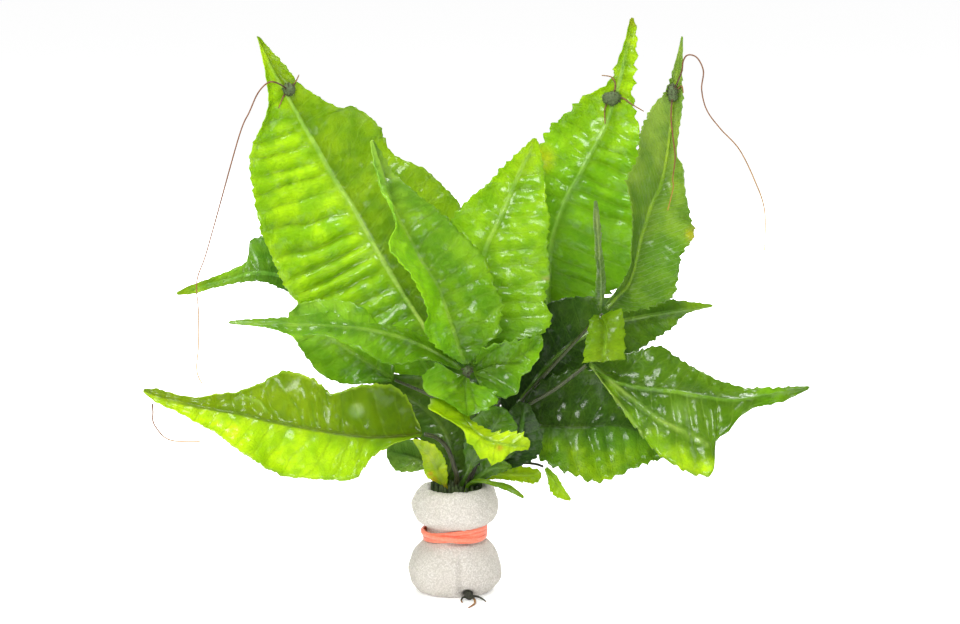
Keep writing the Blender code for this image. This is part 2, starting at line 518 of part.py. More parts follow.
leaf("leaf_front_torn",
     left=((0.4, 55.6, -18.8), (-5.5, 57.2, -20.6), (-9.4, 54.8, -23.0), (-4.5, 51.6, -25.0),
           (1.0, 48.4, -26.5),
           (3.5, 44.6, -27.5), (6.0, 41.0, -28.0), (10.0, 38.4, -28.0), (13.0, 38.6, -28.0),
           (16.0, 41.4, -27.5), (21.0, 42.0, -26.0)),
     mid=((1.0, 55.7, -18.7), (2.6, 51.0, -22.0), (7.5, 45.6, -24.5), (14.0, 43.6, -26.0),
          (21.4, 42.8, -26.0)),
     right=((1.6, 55.6, -18.6), (4.4, 50.8, -21.2), (10.5, 48.0, -23.2), (19.5, 46.8, -25.0),
            (21.6, 43.6, -26.0)),
     colour=YELLOW_GREEN, arch=0.3)

leaf("leaf_low_right",
     left=((19.9, 53.2, -0.2), (20.5, 58.0, 3.5), (26.0, 63.0, 5.5), (36.0, 66.0, 7.0), (47.0, 64.0, 8.0),
           (57.0, 55.0, 8.0), (62.6, 42.0, 6.0)),
     mid=((19.9, 52.5, -0.1), (24.0, 49.6, 1.0), (31.0, 49.0, 3.0), (38.0, 49.0, 5.0), (47.0, 49.5, 6.0),
          (56.0, 46.5, 6.0), (62.6, 41.0, 5.5)),
     right=((19.4, 51.8, 0.0), (21.5, 44.0, -1.5), (25.5, 38.6, -0.6), (32.0, 35.4, -2.0),
            (41.0, 32.5, -3.0),
            (47.0, 34.4, -2.0), (54.5, 37.5, 0.0), (62.0, 40.0, 4.0)),
     colour=DEEP_GREEN, arch=1.0)

leaf("leaf_long_right",
     left=((39.1, 67.9, -1.3), (49.0, 70.0, 1.0), (59.0, 72.5, 1.0), (63.5, 70.5, 0.0), (68.0, 67.5, -1.0),
           (76.5, 62.6, -3.0), (89.0, 60.5, -5.0), (97.5, 60.6, -6.0), (103.6, 60.8, -7.0)),
     mid=((39.0, 67.2, -1.5), (43.0, 63.6, -4.0), (52.5, 60.5, -7.0), (62.5, 59.5, -9.0),
          (71.5, 58.0, -10.0),
          (80.5, 56.8, -10.0), (92.0, 58.2, -9.0), (104.0, 60.5, -7.0)),
     right=((38.9, 66.5, -1.8), (44.0, 59.5, -7.0), (49.0, 53.0, -11.0), (55.5, 45.0, -15.0),
            (60.5, 39.6, -17.5),
            (67.5, 35.2, -19.5), (74.4, 34.4, -20.0), (75.9, 39.0, -19.0), (75.7, 44.5, -17.5),
            (80.0, 48.0, -16.0), (85.0, 53.0, -13.0), (94.5, 56.0, -10.0), (103.6, 60.0, -7.2)),
     colour=FRESH_GREEN, arch=1.0)

leaf("leaf_middle_right",
     left=((13.6, 50.4, 7.7), (12.6, 60.0, 9.5), (14.0, 72.0, 11.0), (20.0, 81.0, 12.4), (31.0, 86.5, 13.5),
           (45.0, 87.0, 15.0), (62.0, 86.4, 17.5), (75.2, 84.8, 19.0)),
     mid=((14.2, 50.0, 7.8), (22.0, 61.0, 10.4), (30.0, 70.0, 12.0), (42.0, 78.0, 13.4), (56.0, 81.5, 15.5),
          (75.5, 84.5, 19.0)),
     right=((14.8, 49.6, 8.0), (24.0, 54.0, 10.2), (34.0, 60.0, 11.4), (44.0, 66.0, 13.0),
            (53.0, 71.0, 15.0),
            (59.0, 75.0, 16.5), (63.5, 78.0, 17.0), (67.5, 82.0, 18.0), (75.2, 84.2, 19.0)),
     colour=DEEP_GREEN, arch=0.4)

leaf("leaf_upright_narrow",
     left=((41.6, 82.9, -0.9), (40.9, 86.5, -5.6), (41.0, 92.5, -8.0), (40.0, 98.0, -8.6),
           (40.4, 106.5, -7.6),
           (40.4, 115.3, -5.4)),
     mid=((42.0, 83.0, -0.5), (42.1, 88.0, -3.4), (42.0, 95.0, -5.0), (41.3, 105.0, -5.2),
          (40.7, 115.5, -5.0)),
     right=((42.4, 83.1, -0.2), (43.4, 90.0, -1.6), (42.6, 98.5, -2.2), (42.6, 107.0, -3.2),
            (41.0, 115.4, -4.6)),
     colour=PALE_GREEN, arch=0.0)

leaf("leaf_square_bright",
     left=((41.7, 81.6, -0.9), (39.2, 80.6, -6.0), (38.4, 77.0, -9.0), (37.4, 71.0, -11.5),
           (36.8, 67.6, -12.0)),
     mid=((42.4, 81.3, -0.9), (44.0, 77.0, -7.0), (42.8, 67.8, -12.6)),
     right=((43.1, 81.6, -0.9), (48.2, 84.0, -5.0), (49.0, 81.0, -7.0), (49.5, 77.0, -8.5),
            (49.4, 68.6, -12.0)),
     colour=YELLOW_GREEN, arch=0.6, rows=6)

leaf("leaf_hanging_narrow",
     left=((25.7, 36.4, -2.5), (26.6, 33.8, -3.8), (27.4, 30.0, -4.8), (29.5, 28.0, -5.2),
           (33.2, 27.0, -5.4)),
     mid=((26.1, 36.8, -2.5), (28.2, 34.0, -3.7), (30.4, 30.6, -4.6), (33.5, 27.3, -5.4)),
     right=((26.5, 37.1, -2.6), (29.4, 34.4, -4.1), (31.4, 31.0, -5.0), (33.6, 27.8, -5.4)),
     colour=YELLOW_GREEN, arch=0.3, rows=6)

leaf("leaf_rim_sprig",
     left=((1.9, 27.5, -3.9), (2.8, 31.8, -4.8), (6.2, 33.6, -7.2), (11.0, 32.8, -9.4),
           (15.5, 31.8, -11.0), (19.6, 28.6, -12.6)),
     mid=((2.2, 27.5, -3.8), (3.2, 31.7, -4.8), (6.5, 33.0, -7.5), (11.0, 32.0, -9.8),
          (15.5, 30.8, -11.6), (19.8, 28.1, -12.8)),
     right=((2.5, 27.5, -3.7), (3.6, 31.6, -4.8), (6.8, 32.4, -7.8), (11.0, 31.3, -10.3),
            (15.2, 29.8, -12.2), (19.6, 27.6, -13.0)),
     colour=DEEP_GREEN, arch=0.0, rows=6)

leaf("leaf_low_yellow",
     left=((4.0, 28.3, 0.6), (5.4, 32.8, 1.3), (9.5, 35.8, 2.0), (13.0, 37.0, 1.2), (17.0, 37.4, -0.4),
           (23.0, 36.7, -2.6), (24.8, 35.4, -3.2)),
     mid=((4.1, 28.2, 0.3), (5.9, 32.5, 0.9), (10.2, 34.8, 1.2), (18.0, 34.8, -2.0), (25.0, 34.6, -3.6)),
     right=((4.2, 28.1, 0.0), (6.4, 32.2, 0.5), (11.4, 33.4, 0.2), (18.5, 32.6, -2.8), (23.0, 32.2, -4.4),
            (24.8, 33.8, -3.8)),
     colour=YELLOW_GREEN, arch=0.2, rows=6)

leaf("leaf_low_pointed",
     left=((2.8, 28.0, -2.2), (4.2, 32.0, -3.4), (6.0, 36.8, -5.4), (8.0, 39.4, -7.4),
           (12.0, 39.6, -8.0), (16.0, 37.6, -9.0)),
     mid=((3.0, 27.9, -2.4), (4.5, 31.8, -3.6), (7.0, 34.8, -5.6), (10.5, 36.8, -7.4), (16.2, 37.2, -9.0)),
     right=((3.2, 27.8, -2.6), (4.8, 31.6, -3.8), (8.6, 33.6, -5.8), (12.5, 35.2, -7.8),
            (16.2, 36.8, -9.2)),
     colour=DEEP_GREEN, arch=0.2, rows=6)

leaf("leaf_shaded_left",
     left=((0.5, 27.6, -3.15), (1.0, 32.2, -4.9), (2.6, 36.8, -9.2), (2.0, 43.0, -12.4),
           (3.4, 50.0, -15.0), (9.0, 54.6, -16.0),
           (13.4, 54.8, -16.0)),
     mid=((0.8, 27.6, -3.15), (1.5, 32.0, -5.1), (4.0, 37.0, -10.2), (8.4, 45.0, -13.5),
          (14.0, 54.4, -16.0)),
     right=((1.1, 27.6, -3.15), (2.0, 31.8, -5.3), (5.8, 37.6, -10.6), (12.0, 41.0, -12.6),
            (17.8, 48.0, -14.5), (14.6, 54.0, -16.0)),
     colour=DEEP_GREEN, arch=0.3, rows=8)

leaf("leaf_shaded_right",
     left=((3.5, 28.3, -0.9), (5.0, 32.4, -2.3), (8.4, 37.6, -4.2), (11.5, 44.0, -6.4), (14.0, 52.0, -8.0),
           (18.4, 56.4, -8.2)),
     mid=((3.7, 28.1, -1.2), (5.4, 32.0, -2.7), (9.8, 36.6, -4.6), (17.5, 43.0, -6.6), (20.0, 56.0, -8.2)),
     right=((3.9, 27.9, -1.5), (5.8, 31.6, -3.1), (11.4, 34.9, -5.0), (18.5, 37.4, -6.6),
            (24.2, 40.6, -7.6),
            (25.0, 47.0, -8.0), (21.4, 55.6, -8.4)),
     colour=DEEP_GREEN, arch=0.3, rows=8)

leaf("leaf_grey_blade",
     left=((-4.2, 28.0, -1.0), (-4.4, 32.0, -1.0), (-6.8, 40.0, 0.0), (-14.0, 49.0, 1.5),
           (-22.0, 56.0, 3.0),
           (-25.0, 62.6, 5.0)),
     mid=((-3.7, 28.1, -1.0), (-3.4, 32.0, -1.0), (-1.4, 42.0, 0.6), (-8.0, 53.0, 2.6), (-24.5, 63.4, 5.5)),
     right=((-3.2, 28.1, -1.0), (-1.2, 31.8, -0.8), (3.6, 36.4, 0.4), (6.4, 43.0, 0.6), (5.6, 52.0, 0.6),
            (-2.0, 62.0, 2.6), (-21.8, 64.6, 5.8)),
     colour=DEEP_GREEN, arch=0.5, rows=8)

leaf("leaf_behind_middle",
     left=((9.9, 52.6, 12.6), (-3.0, 62.0, 22.0), (-9.0, 78.0, 31.0), (-7.0, 94.0, 38.0),
           (2.0, 108.0, 42.0)),
     mid=((10.5, 53.3, 12.8), (6.0, 66.0, 24.0), (3.5, 82.0, 33.0), (2.4, 108.4, 43.0)),
     right=((11.1, 54.0, 13.0), (19.0, 64.0, 24.0), (18.0, 80.0, 32.0), (13.0, 95.0, 39.0),
            (3.0, 108.0, 42.6)),
     colour=DEEP_GREEN, arch=1.0)

leaf("leaf_behind_left",
     left=((-6.0, 60.4, 11.0), (-20.0, 66.0, 20.0), (-35.0, 80.0, 30.0), (-48.0, 98.0, 39.0),
           (-50.0, 120.0, 46.0)),
     mid=((-5.3, 61.0, 11.2), (-14.0, 74.0, 24.0), (-27.0, 93.0, 36.0), (-49.6, 120.6, 46.4)),
     right=((-4.7, 61.6, 11.2), (-4.0, 78.0, 26.0), (-11.0, 98.0, 38.0), (-26.0, 114.0, 45.0),
            (-49.0, 121.0, 46.8)),
     colour=FRESH_GREEN, arch=1.0)

# The buds and hair roots that the blades carry near their tips.
left_bud = bud("bud_left", "leaf_tall_left", (-49.5, 148.0), (1.8, 1.4, 1.9),
    (((-51.0, 146.0), (-52.4, 142.6)), ((-47.6, 150.0), (-46.4, 152.4))))
bud("bud_middle", "leaf_upper_middle", (45.5, 145.5), (2.7, 1.4, 2.0),
    (((48.5, 145.6), (51.6, 143.6), (55.0, 141.6)), ((46.6, 149.0), (45.6, 151.6), (42.6, 152.2)),
     ((43.6, 142.6), (43.6, 138.0))))
right_bud = bud("bud_right", "leaf_upper_right", (63.5, 147.0), (1.5, 1.2, 2.5),
    (((65.2, 148.4), (66.2, 149.0), (66.6, 147.0)),))
bud("bud_front", None, (3.0, 65.3), (1.25, 1.25, 1.25), ())

root("root_left_long", (
    (-53.0, 150.0, 12.4), (-55.6, 150.0, 11.4), (-58.5, 147.0, 9.6), (-61.0, 141.5, 8.0),
    (-64.0, 134.5, 6.0), (-71.0, 109.5, 2.0), (-74.0, 99.0, 0.0), (-76.5, 91.5, -2.0), (-76.0, 82.5, -4.0),
    (-76.0, 73.0, -6.0), (-76.5, 65.5, -8.0), (-75.0, 61.5, -9.0)), left_bud, 2.4)
root("root_right_long", (
    (66.0, 153.0, 12.0), (66.6, 156.5, 12.0), (68.0, 158.2, 10.0), (70.6, 157.4, 9.0),
    (72.5, 153.5, 8.0), (72.0, 148.0, 7.0), (73.5, 142.0, 6.0), (77.5, 136.5, 5.0), (83.0, 130.5, 4.0),
    (87.5, 121.5, 3.0), (90.5, 112.5, 2.0), (90.5, 100.5, 0.0)), right_bud, 2.8)
root("root_right_down", (
    (63.0, 140.5, 12.0), (63.5, 134.5, 11.0), (64.2, 128.0, 9.4), (63.5, 122.0, 9.0),
    (63.6, 119.0, 8.8), (62.0, 112.5, 8.6)), right_bud, 3.1)
root("root_low_left", (
    (-89.6, 55.6, -17.9), (-89.4, 53.4, -18.4), (-89.0, 49.5, -19.0), (-84.5, 45.0, -20.0),
    (-75.5, 44.5, -22.0)))
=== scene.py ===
import bisect
import math
import random

import bmesh
import bpy
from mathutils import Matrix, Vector, noise
from mathutils.bvhtree import BVHTree


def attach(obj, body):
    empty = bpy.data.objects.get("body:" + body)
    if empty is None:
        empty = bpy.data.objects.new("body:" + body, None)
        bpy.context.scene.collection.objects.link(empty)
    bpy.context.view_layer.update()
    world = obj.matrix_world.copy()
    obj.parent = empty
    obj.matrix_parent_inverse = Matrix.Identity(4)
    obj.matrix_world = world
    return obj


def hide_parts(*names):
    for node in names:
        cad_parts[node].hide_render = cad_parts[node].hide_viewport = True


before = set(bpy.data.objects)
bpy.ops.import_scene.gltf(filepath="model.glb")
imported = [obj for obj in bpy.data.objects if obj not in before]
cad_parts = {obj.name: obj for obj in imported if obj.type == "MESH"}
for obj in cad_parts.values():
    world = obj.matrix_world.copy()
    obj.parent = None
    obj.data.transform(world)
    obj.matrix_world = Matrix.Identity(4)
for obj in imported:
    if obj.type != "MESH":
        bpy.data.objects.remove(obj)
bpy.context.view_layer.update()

# The eye: a camera 800 mm in front of the bunch, looking down on it by nine degrees, as in the photograph.
# Each blade, bud and root below is drawn in millimetres as this eye sees it: right, up, and how far
# behind the foot's centre it lies.
MM = 0.001
EYE_DISTANCE = 800.0
EYE_DOWN = math.radians(9.0)
EYE_AIM = (6.8, 82.6)
FOOT_SEEN = (-0.5, 1.2)
PHOTO_WIDTH = 960
PIXELS_A_MM = 3.4
SENSOR = 36.0

tilt_up = Vector((0.0, math.sin(EYE_DOWN), math.cos(EYE_DOWN)))
ahead = Vector((0.0, math.cos(EYE_DOWN), -math.sin(EYE_DOWN)))
aim = Vector((EYE_AIM[0] - FOOT_SEEN[0], 0.0, 0.0)) + tilt_up * (EYE_AIM[1] - FOOT_SEEN[1])
eye = aim - ahead * EYE_DISTANCE

lens = bpy.data.cameras.new("eye")
lens.sensor_width = SENSOR
lens.lens = SENSOR * EYE_DISTANCE / (PHOTO_WIDTH / PIXELS_A_MM)
lens.clip_start = 0.05
lens.clip_end = 20.0
camera = bpy.data.objects.new("eye", lens)
camera.location = eye * MM
camera.rotation_euler = (math.radians(90.0) - EYE_DOWN, 0.0, 0.0)
bpy.context.scene.collection.objects.link(camera)
bpy.context.scene.camera = camera
bpy.context.scene.view_settings.view_transform = "Standard"


def seen(right, up, back):
    """The point at a depth behind the foot's centre that the eye sees at this place."""
    target = Vector((right - FOOT_SEEN[0], 0.0, 0.0)) + tilt_up * (up - FOOT_SEEN[1])
    sight = target - eye
    return eye + sight * ((back - eye.y) / sight.y)


# The floor and the light: a sweep of white paper and large soft lamps, as for a product photograph. The
# paper is lit from behind and also glows by its own emission as painted light, faintly in front and strongly
# behind the plant, so that it burns out and shines through the blades.
class Wire:
    """A socket that can be added to, multiplied and so on, each giving its Math node's output."""

    def __init__(self, tree, socket):
        self.tree = tree
        self.socket = socket

    def combine(self, operation, other, swapped=False, clamp=False):
        first, second = (other, self) if swapped else (self, other)
        values = {0: first, 1: second} if other is not None else {0: self}
        return self.tree.node("ShaderNodeMath", {"operation": operation, "use_clamp": clamp}, values)

    def __add__(self, other):
        return self.combine("ADD", other)

    def __radd__(self, other):
        return self.combine("ADD", other, True)

    def __sub__(self, other):
        return self.combine("SUBTRACT", other)

    def __rsub__(self, other):
        return self.combine("SUBTRACT", other, True)

    def __mul__(self, other):
        return self.combine("MULTIPLY", other)

    def __rmul__(self, other):
        return self.combine("MULTIPLY", other, True)

    def __pow__(self, other):
        return self.combine("POWER", other)

    def sine(self):
        return self.combine("SINE", None)

    def size(self):
        return self.combine("ABSOLUTE", None)

    def step(self, low, high):
        """A soft step from 0 at low to 1 at high."""
        return self.tree.node("ShaderNodeMapRange", {"interpolation_type": "SMOOTHSTEP"},
                              {"Value": self, "From Min": low, "From Max": high})


class Finish:
    """A material and the nodes that make it up."""

    def __init__(self, name, **constants):
        self.made = bpy.data.materials.new(name)
        self.made.use_nodes = True
        self.nodes = self.made.node_tree.nodes
        self.links = self.made.node_tree.links
        self.shader = self.nodes["Principled BSDF"]
        for socket, value in constants.items():
            self.shader.inputs[socket.replace("_", " ")].default_value = value

    def node(self, kind, settings=None, values=None, output=0):
        made = self.nodes.new(kind)
        for name, value in (settings or {}).items():
            if name == "stops":
                ramp = made.color_ramp.elements
                while len(ramp) < len(value):
                    ramp.new(0.5)
                for element, (place, colour) in zip(ramp, value):
                    element.position = place
                    element.color = (*colour, 1.0)
            else:
                setattr(made, name, value)
        for name, value in (values or {}).items():
            self.feed(made.inputs[name], value)
        return Wire(self, made.outputs[output])

    def feed(self, socket, value):
        if isinstance(value, Wire):
            self.links.new(value.socket, socket)
        elif isinstance(value, tuple) and socket.type == "RGBA":
            socket.default_value = (*value, 1.0)
        else:
            socket.default_value = value

    def mix(self, share, first, second, blend="MIX"):
        """A colour between two colours."""
        made = self.nodes.new("ShaderNodeMix")
        made.data_type = "RGBA"
        made.blend_type = blend
        inputs = [socket for socket in made.inputs if socket.enabled]
        for socket, value in zip(inputs, (share, first, second)):
            self.feed(socket, value)
        return Wire(self, [socket for socket in made.outputs if socket.enabled][0])

    def place(self, scale=1000.0):
        """The place on the object, in millimetres."""
        here = self.node("ShaderNodeTexCoord", output=3)
        return self.node("ShaderNodeVectorMath", {"operation": "SCALE"}, {0: here, "Scale": scale})

    def grain(self, scale, detail=3.0, where=None, rough=0.6):
        """Soft noise from 0 to 1, with features one over the scale in size."""
        return self.node("ShaderNodeTexNoise", {"noise_dimensions": "3D"},
                         {"Vector": where or self.place(), "Scale": scale, "Detail": detail, "Roughness": rough})

    def bump(self, height, distance, strength=1.0, under=None):
        values = {"Height": height, "Distance": distance * MM, "Strength": strength}
        if under:
            values["Normal"] = under
        return self.node("ShaderNodeBump", {}, values)


paper = Finish("paper", Roughness=0.6, Emission_Strength=1.0)
shade = paper.grain(0.01)
behind = paper.node("ShaderNodeSeparateXYZ", {}, {"Vector": paper.place(1.0)}, output=1)
paper.feed(paper.shader.inputs["Base Color"], paper.mix(shade, (0.90, 0.90, 0.90), (0.93, 0.93, 0.93)))
# Painted light: the paper's own glow, faint in front and strong behind the plant.
paper.feed(paper.shader.inputs["Emission Color"],
           paper.mix(behind.step(-0.1, 0.7), (0.24, 0.24, 0.24), (0.85, 0.85, 0.85)))

bm = bmesh.new()
bmesh.ops.create_grid(bm, x_segments=1, y_segments=1, size=6.0)
floor_mesh = bpy.data.meshes.new("floor")
bm.to_mesh(floor_mesh)
bm.free()
floor = bpy.data.objects.new("floor", floor_mesh)
floor.data.materials.append(paper.made)
bpy.context.scene.collection.objects.link(floor)

world = bpy.data.worlds.new("studio")
world.use_nodes = True
world.node_tree.nodes["Background"].inputs["Color"].default_value = (1.0, 1.0, 1.0, 1.0)
world.node_tree.nodes["Background"].inputs["Strength"].default_value = 0.14
bpy.context.scene.world = world


def lamp(name, place, target, width, height, power):
    """A large flat softbox that faces a target."""
    light = bpy.data.lights.new(name, "AREA")
    light.shape = "RECTANGLE"
    light.size = width
    light.size_y = height
    light.energy = power
    made = bpy.data.objects.new(name, light)
    made.location = place
    made.rotation_euler = (Vector(target) - Vector(place)).to_track_quat("-Z", "Y").to_euler()
    bpy.context.scene.collection.objects.link(made)


lamp("softbox_key", (-0.22, -0.8, 0.62), (0.0, 0.0, 0.08), 0.42, 0.3, 6.6)
lamp("softbox_left", (-0.65, -0.35, 0.75), (0.0, 0.0, 0.08), 0.4, 0.4, 3.6)
lamp("softbox_right", (0.75, -0.3, 0.5), (0.0, 0.0, 0.08), 0.4, 0.4, 1.6)
lamp("softbox_top", (-0.05, -0.05, 1.0), (0.0, 0.0, 0.08), 0.4, 0.3, 5.2)
lamp("softbox_back", (0.15, 0.8, 0.5), (0.0, 0.0, 0.09), 0.8, 0.6, 11.0)


# The foam wrap: a strip of pale open-celled foam, wound round the stalks' bases and squeezed at its waist
# by the band. Its face is a fine crumb of cut cells, and its roll shows as shallow upright creases.
FOAM_PROFILE = (
    (10.2, 0.0), (11.5, 0.8), (12.9, 3.0), (13.5, 6.5), (12.9, 9.8), (11.3, 12.6), (9.6, 14.4),
    (8.6, 15.3), (8.3, 17.3), (8.6, 19.3), (9.8, 20.1), (12.0, 21.9), (12.7, 24.3), (12.3, 27.4),
    (11.2, 29.8), (9.6, 30.9), (8.0, 30.4), (6.9, 28.4), (6.5, 25.4),
)
FOAM_STEPS = 240
FOAM_LUMP = 0.55
FOAM_CRUMB = 0.22
FOAM_CREASES = ((-116.0, 22.0, 31.0, 0.7), (-81.0, 0.0, 14.0, 0.8), (70.0, 0.0, 31.0, 1.2), (190.0, 18.0, 31.0, 0.6))
CREASE_WIDTH = 0.09
RIM_LUMP = (28.0, 0.35, 2.4)
STUB_EXIT = Vector((3.9, -11.4, 0.9))
STUB_HOLE = 1.4


def smooth_path(points, steps=8):
    """A smooth curve through the points, as a dense list."""
    ends = [points[0]] + list(points) + [points[-1]]
    dense = []
    for index in range(1, len(ends) - 2):
        before, start, end, after = ends[index - 1:index + 3]
        for step in range(steps):
            t = step / steps
            dense.append(
                0.5 * (2 * start + (end - before) * t
                       + (2 * before - 5 * start + 4 * end - after) * t * t
                       + (3 * start - before - 3 * end + after) * t * t * t)
            )
    dense.append(points[-1].copy())
    return dense


def soft_step(value, low, high):
    """0 at low, 1 at high, and smooth between."""
    t = min(max((value - low) / (high - low), 0.0), 1.0)
    return t * t * (3.0 - 2.0 * t)


def piece(name, bm, finish, slot, *nodes):
    """A bmesh in millimetres made an object in metres, which stands for the CAD's nodes."""
    bmesh.ops.scale(bm, vec=(MM, MM, MM), verts=bm.verts)
    mesh = bpy.data.meshes.new(name)
    bm.to_mesh(mesh)
    bm.free()
    mesh.shade_smooth()
    made = bpy.data.objects.new(name, mesh)
    made.data.materials.append(finish.made)
    bpy.context.scene.collection.objects.link(made)
    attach(made, "root")
    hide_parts(*nodes)
    return made


bm = bmesh.new()
profile = smooth_path([Vector((radius, 0.0, height)) for radius, height in FOAM_PROFILE])
outline = [bm.verts.new((0.0, 0.0, 0.0))]
outline += [bm.verts.new((point.x * share, 0.0, 0.0)) for point in profile[:1] for share in (0.3, 0.6, 0.8, 0.9)]
outline += [bm.verts.new(point) for point in profile]
outline += [bm.verts.new((profile[-1].x * share, 0.0, profile[-1].z)) for share in (0.8, 0.5, 0.2, 0.0)]
edges = [bm.edges.new(pair) for pair in zip(outline, outline[1:])]
bmesh.ops.spin(bm, geom=outline + edges, cent=(0, 0, 0), axis=(0, 0, 1), angle=math.tau,
               steps=FOAM_STEPS, use_merge=True)
bmesh.ops.remove_doubles(bm, verts=bm.verts, dist=0.001)
bmesh.ops.recalc_face_normals(bm, faces=bm.faces)
bm.normal_update()
for vert in bm.verts:
    spot = vert.co.copy()
    out = vert.normal.copy()
    angle = math.atan2(spot.y, spot.x)
    reach = spot.xy.length
    free = soft_step(reach, 7.5, 8.5) * soft_step(spot.z, 0.0, 0.8)
    waist = 1.0 - math.exp(-((spot.z - 17.3) / 3.0) ** 2)
    lump = noise.fractal(spot * 0.16, 1.0, 2.0, 3) * FOAM_LUMP
    cells = noise.voronoi(spot * 1.15)[0][0]
    crumb = (0.45 - cells) * FOAM_CRUMB + noise.noise(spot * 2.6) * FOAM_CRUMB * 0.5
    push = lump * free * waist + crumb * (0.25 + 0.75 * free)
    for turn, low, high, depth in FOAM_CREASES:
        apart = (angle - math.radians(turn) + math.pi) % math.tau - math.pi
        within = soft_step(spot.z, low, low + 3.0) * (1.0 - soft_step(spot.z, high - 3.0, high))
        push -= depth * math.exp(-(apart / CREASE_WIDTH) ** 2) * within * free
    vert.co += out * push
    apart = (angle - math.radians(RIM_LUMP[0]) + math.pi) % math.tau - math.pi
    rim = soft_step(spot.z, 25.0, 30.5) * soft_step(reach, 7.0, 9.0)
    vert.co.z += RIM_LUMP[2] * rim * math.exp(-(apart / RIM_LUMP[1]) ** 2)
    hole = max(0.0, 1.0 - (spot - STUB_EXIT).length / (STUB_HOLE * 1.6))
    vert.co += Vector((-0.3, 0.9, 0.3)) * 3.0 * hole ** 1.5
    vert.co.z = max(vert.co.z, 0.0)

foam_finish = Finish("foam", Roughness=0.95)
spots = foam_finish.place()
crumbs = foam_finish.node("ShaderNodeTexVoronoi", {"feature": "F1"}, {"Vector": spots, "Scale": 2.0, "Randomness": 1.0})
fine = foam_finish.grain(3.2, 4.0, spots)
broad = foam_finish.grain(0.14, 2.0, spots)
height = fine * 0.75 + (1.0 - crumbs) * 0.35
pale = foam_finish.mix(broad.step(0.3, 0.7), (0.74, 0.695, 0.64), (0.79, 0.755, 0.71))
# Painted shade: the crumb is darker where its bump is lowest, in the hollows between the cells.
pit_shade = foam_finish.mix(height.step(0.4, 0.8), (0.52, 0.48, 0.43), pale)
foam_finish.feed(foam_finish.shader.inputs["Base Color"], pit_shade)
foam_finish.feed(foam_finish.shader.inputs["Normal"], foam_finish.bump(height, 0.3, 0.7))
foam = piece("foam_roll", bm, foam_finish, "foam", "foam_wrap")


# The rubber band: one loop of soft coral rubber with a square-cut strand, wound about three times round the
# waist. Its last stretch climbs back over the turns, so the strands part at the right.
BAND_TURNS = 3
BAND_RADIUS = 8.95
BAND_THICK = 0.55
BAND_WIDE = 0.84
BAND_PITCH = 1.36
BAND_HEIGHT = 17.25
BAND_TILT = (0.85, 0.5)
BAND_CROSSING = 1.0
BAND_CROSSING_TURN = 0.42
BAND_POINTS_A_TURN = 120
BAND_CORNERS = 12


def ring_of(bm, centre, along, up, thick, wide, sides):
    """One closed ring of edges, square with round corners, across a strand."""
    matrix_out = along.cross(up).normalized()
    matrix_up = matrix_out.cross(along).normalized()
    made = bmesh.ops.create_circle(bm, cap_ends=False, segments=sides, radius=1.0)
    for vert in made["verts"]:
        x, y = vert.co.x, vert.co.y
        square = max(abs(x), abs(y)) ** -0.55
        vert.co = centre + matrix_out * x * thick * square + matrix_up * y * wide * square
    return list({edge for vert in made["verts"] for edge in vert.link_edges})


bm = bmesh.new()
count = BAND_TURNS * BAND_POINTS_A_TURN
path = []
for index in range(count):
    turns = BAND_TURNS * index / count
    angle = math.radians(-40.0) + math.tau * turns
    climbing = BAND_TURNS - BAND_CROSSING_TURN
    back = max(0.0, (turns - climbing) / BAND_CROSSING_TURN)
    ease = back * back * (3.0 - 2.0 * back)
    high = BAND_HEIGHT + BAND_PITCH * (min(turns, climbing) * (1.0 - ease) - climbing / 2.0)
    reach = BAND_RADIUS + BAND_CROSSING * math.sin(math.pi * back) ** 0.5 + 0.08 * math.sin(5.0 * angle + turns)
    high += 0.14 * math.sin(2.0 * angle + 1.7 * turns)
    high += BAND_TILT[0] * math.cos(angle) - BAND_TILT[1] * math.sin(angle)
    path.append(Vector((reach * math.cos(angle), reach * math.sin(angle), high)))
loops = []
for index, point in enumerate(path):
    along = path[(index + 1) % count] - path[index - 1]
    loops.append(ring_of(bm, point, along, Vector((0, 0, 1)), BAND_THICK, BAND_WIDE, BAND_CORNERS))
for index in range(count):
    bmesh.ops.bridge_loops(bm, edges=loops[index - 1] + loops[index])
bmesh.ops.recalc_face_normals(bm, faces=bm.faces)

coral = Finish("coral_rubber", Roughness=0.42)
coral.shader.inputs["Subsurface Weight"].default_value = 0.25
coral.shader.inputs["Subsurface Radius"].default_value = (1.0, 0.3, 0.2)
coral.shader.inputs["Subsurface Scale"].default_value = 0.001
dust = coral.grain(1.4, 4.0)
turn = coral.node("ShaderNodeMapping", {"vector_type": "POINT"},
                  {"Vector": coral.place(), "Rotation": (0.0, 0.12, 0.0), "Scale": (0.12, 0.12, 2.2)})
shade_streaks = coral.grain(1.0, 2.0, turn)
rubber = coral.mix(dust.step(0.35, 0.7) * 0.5, (0.95, 0.22, 0.13), (0.97, 0.38, 0.27))
# Painted shade: darker red streaks that run round the turns of the band.
coral.feed(coral.shader.inputs["Base Color"],
           coral.mix(shade_streaks.step(0.48, 0.62) * 0.7, rubber, (0.88, 0.13, 0.05)))
coral.feed(coral.shader.inputs["Roughness"], 0.32 + dust * 0.2)
coral.feed(coral.shader.inputs["Normal"], coral.bump(coral.grain(4.0, 3.0), 0.05, 0.5))
piece("band", bm, coral, "band_rubber", "rubber_band")


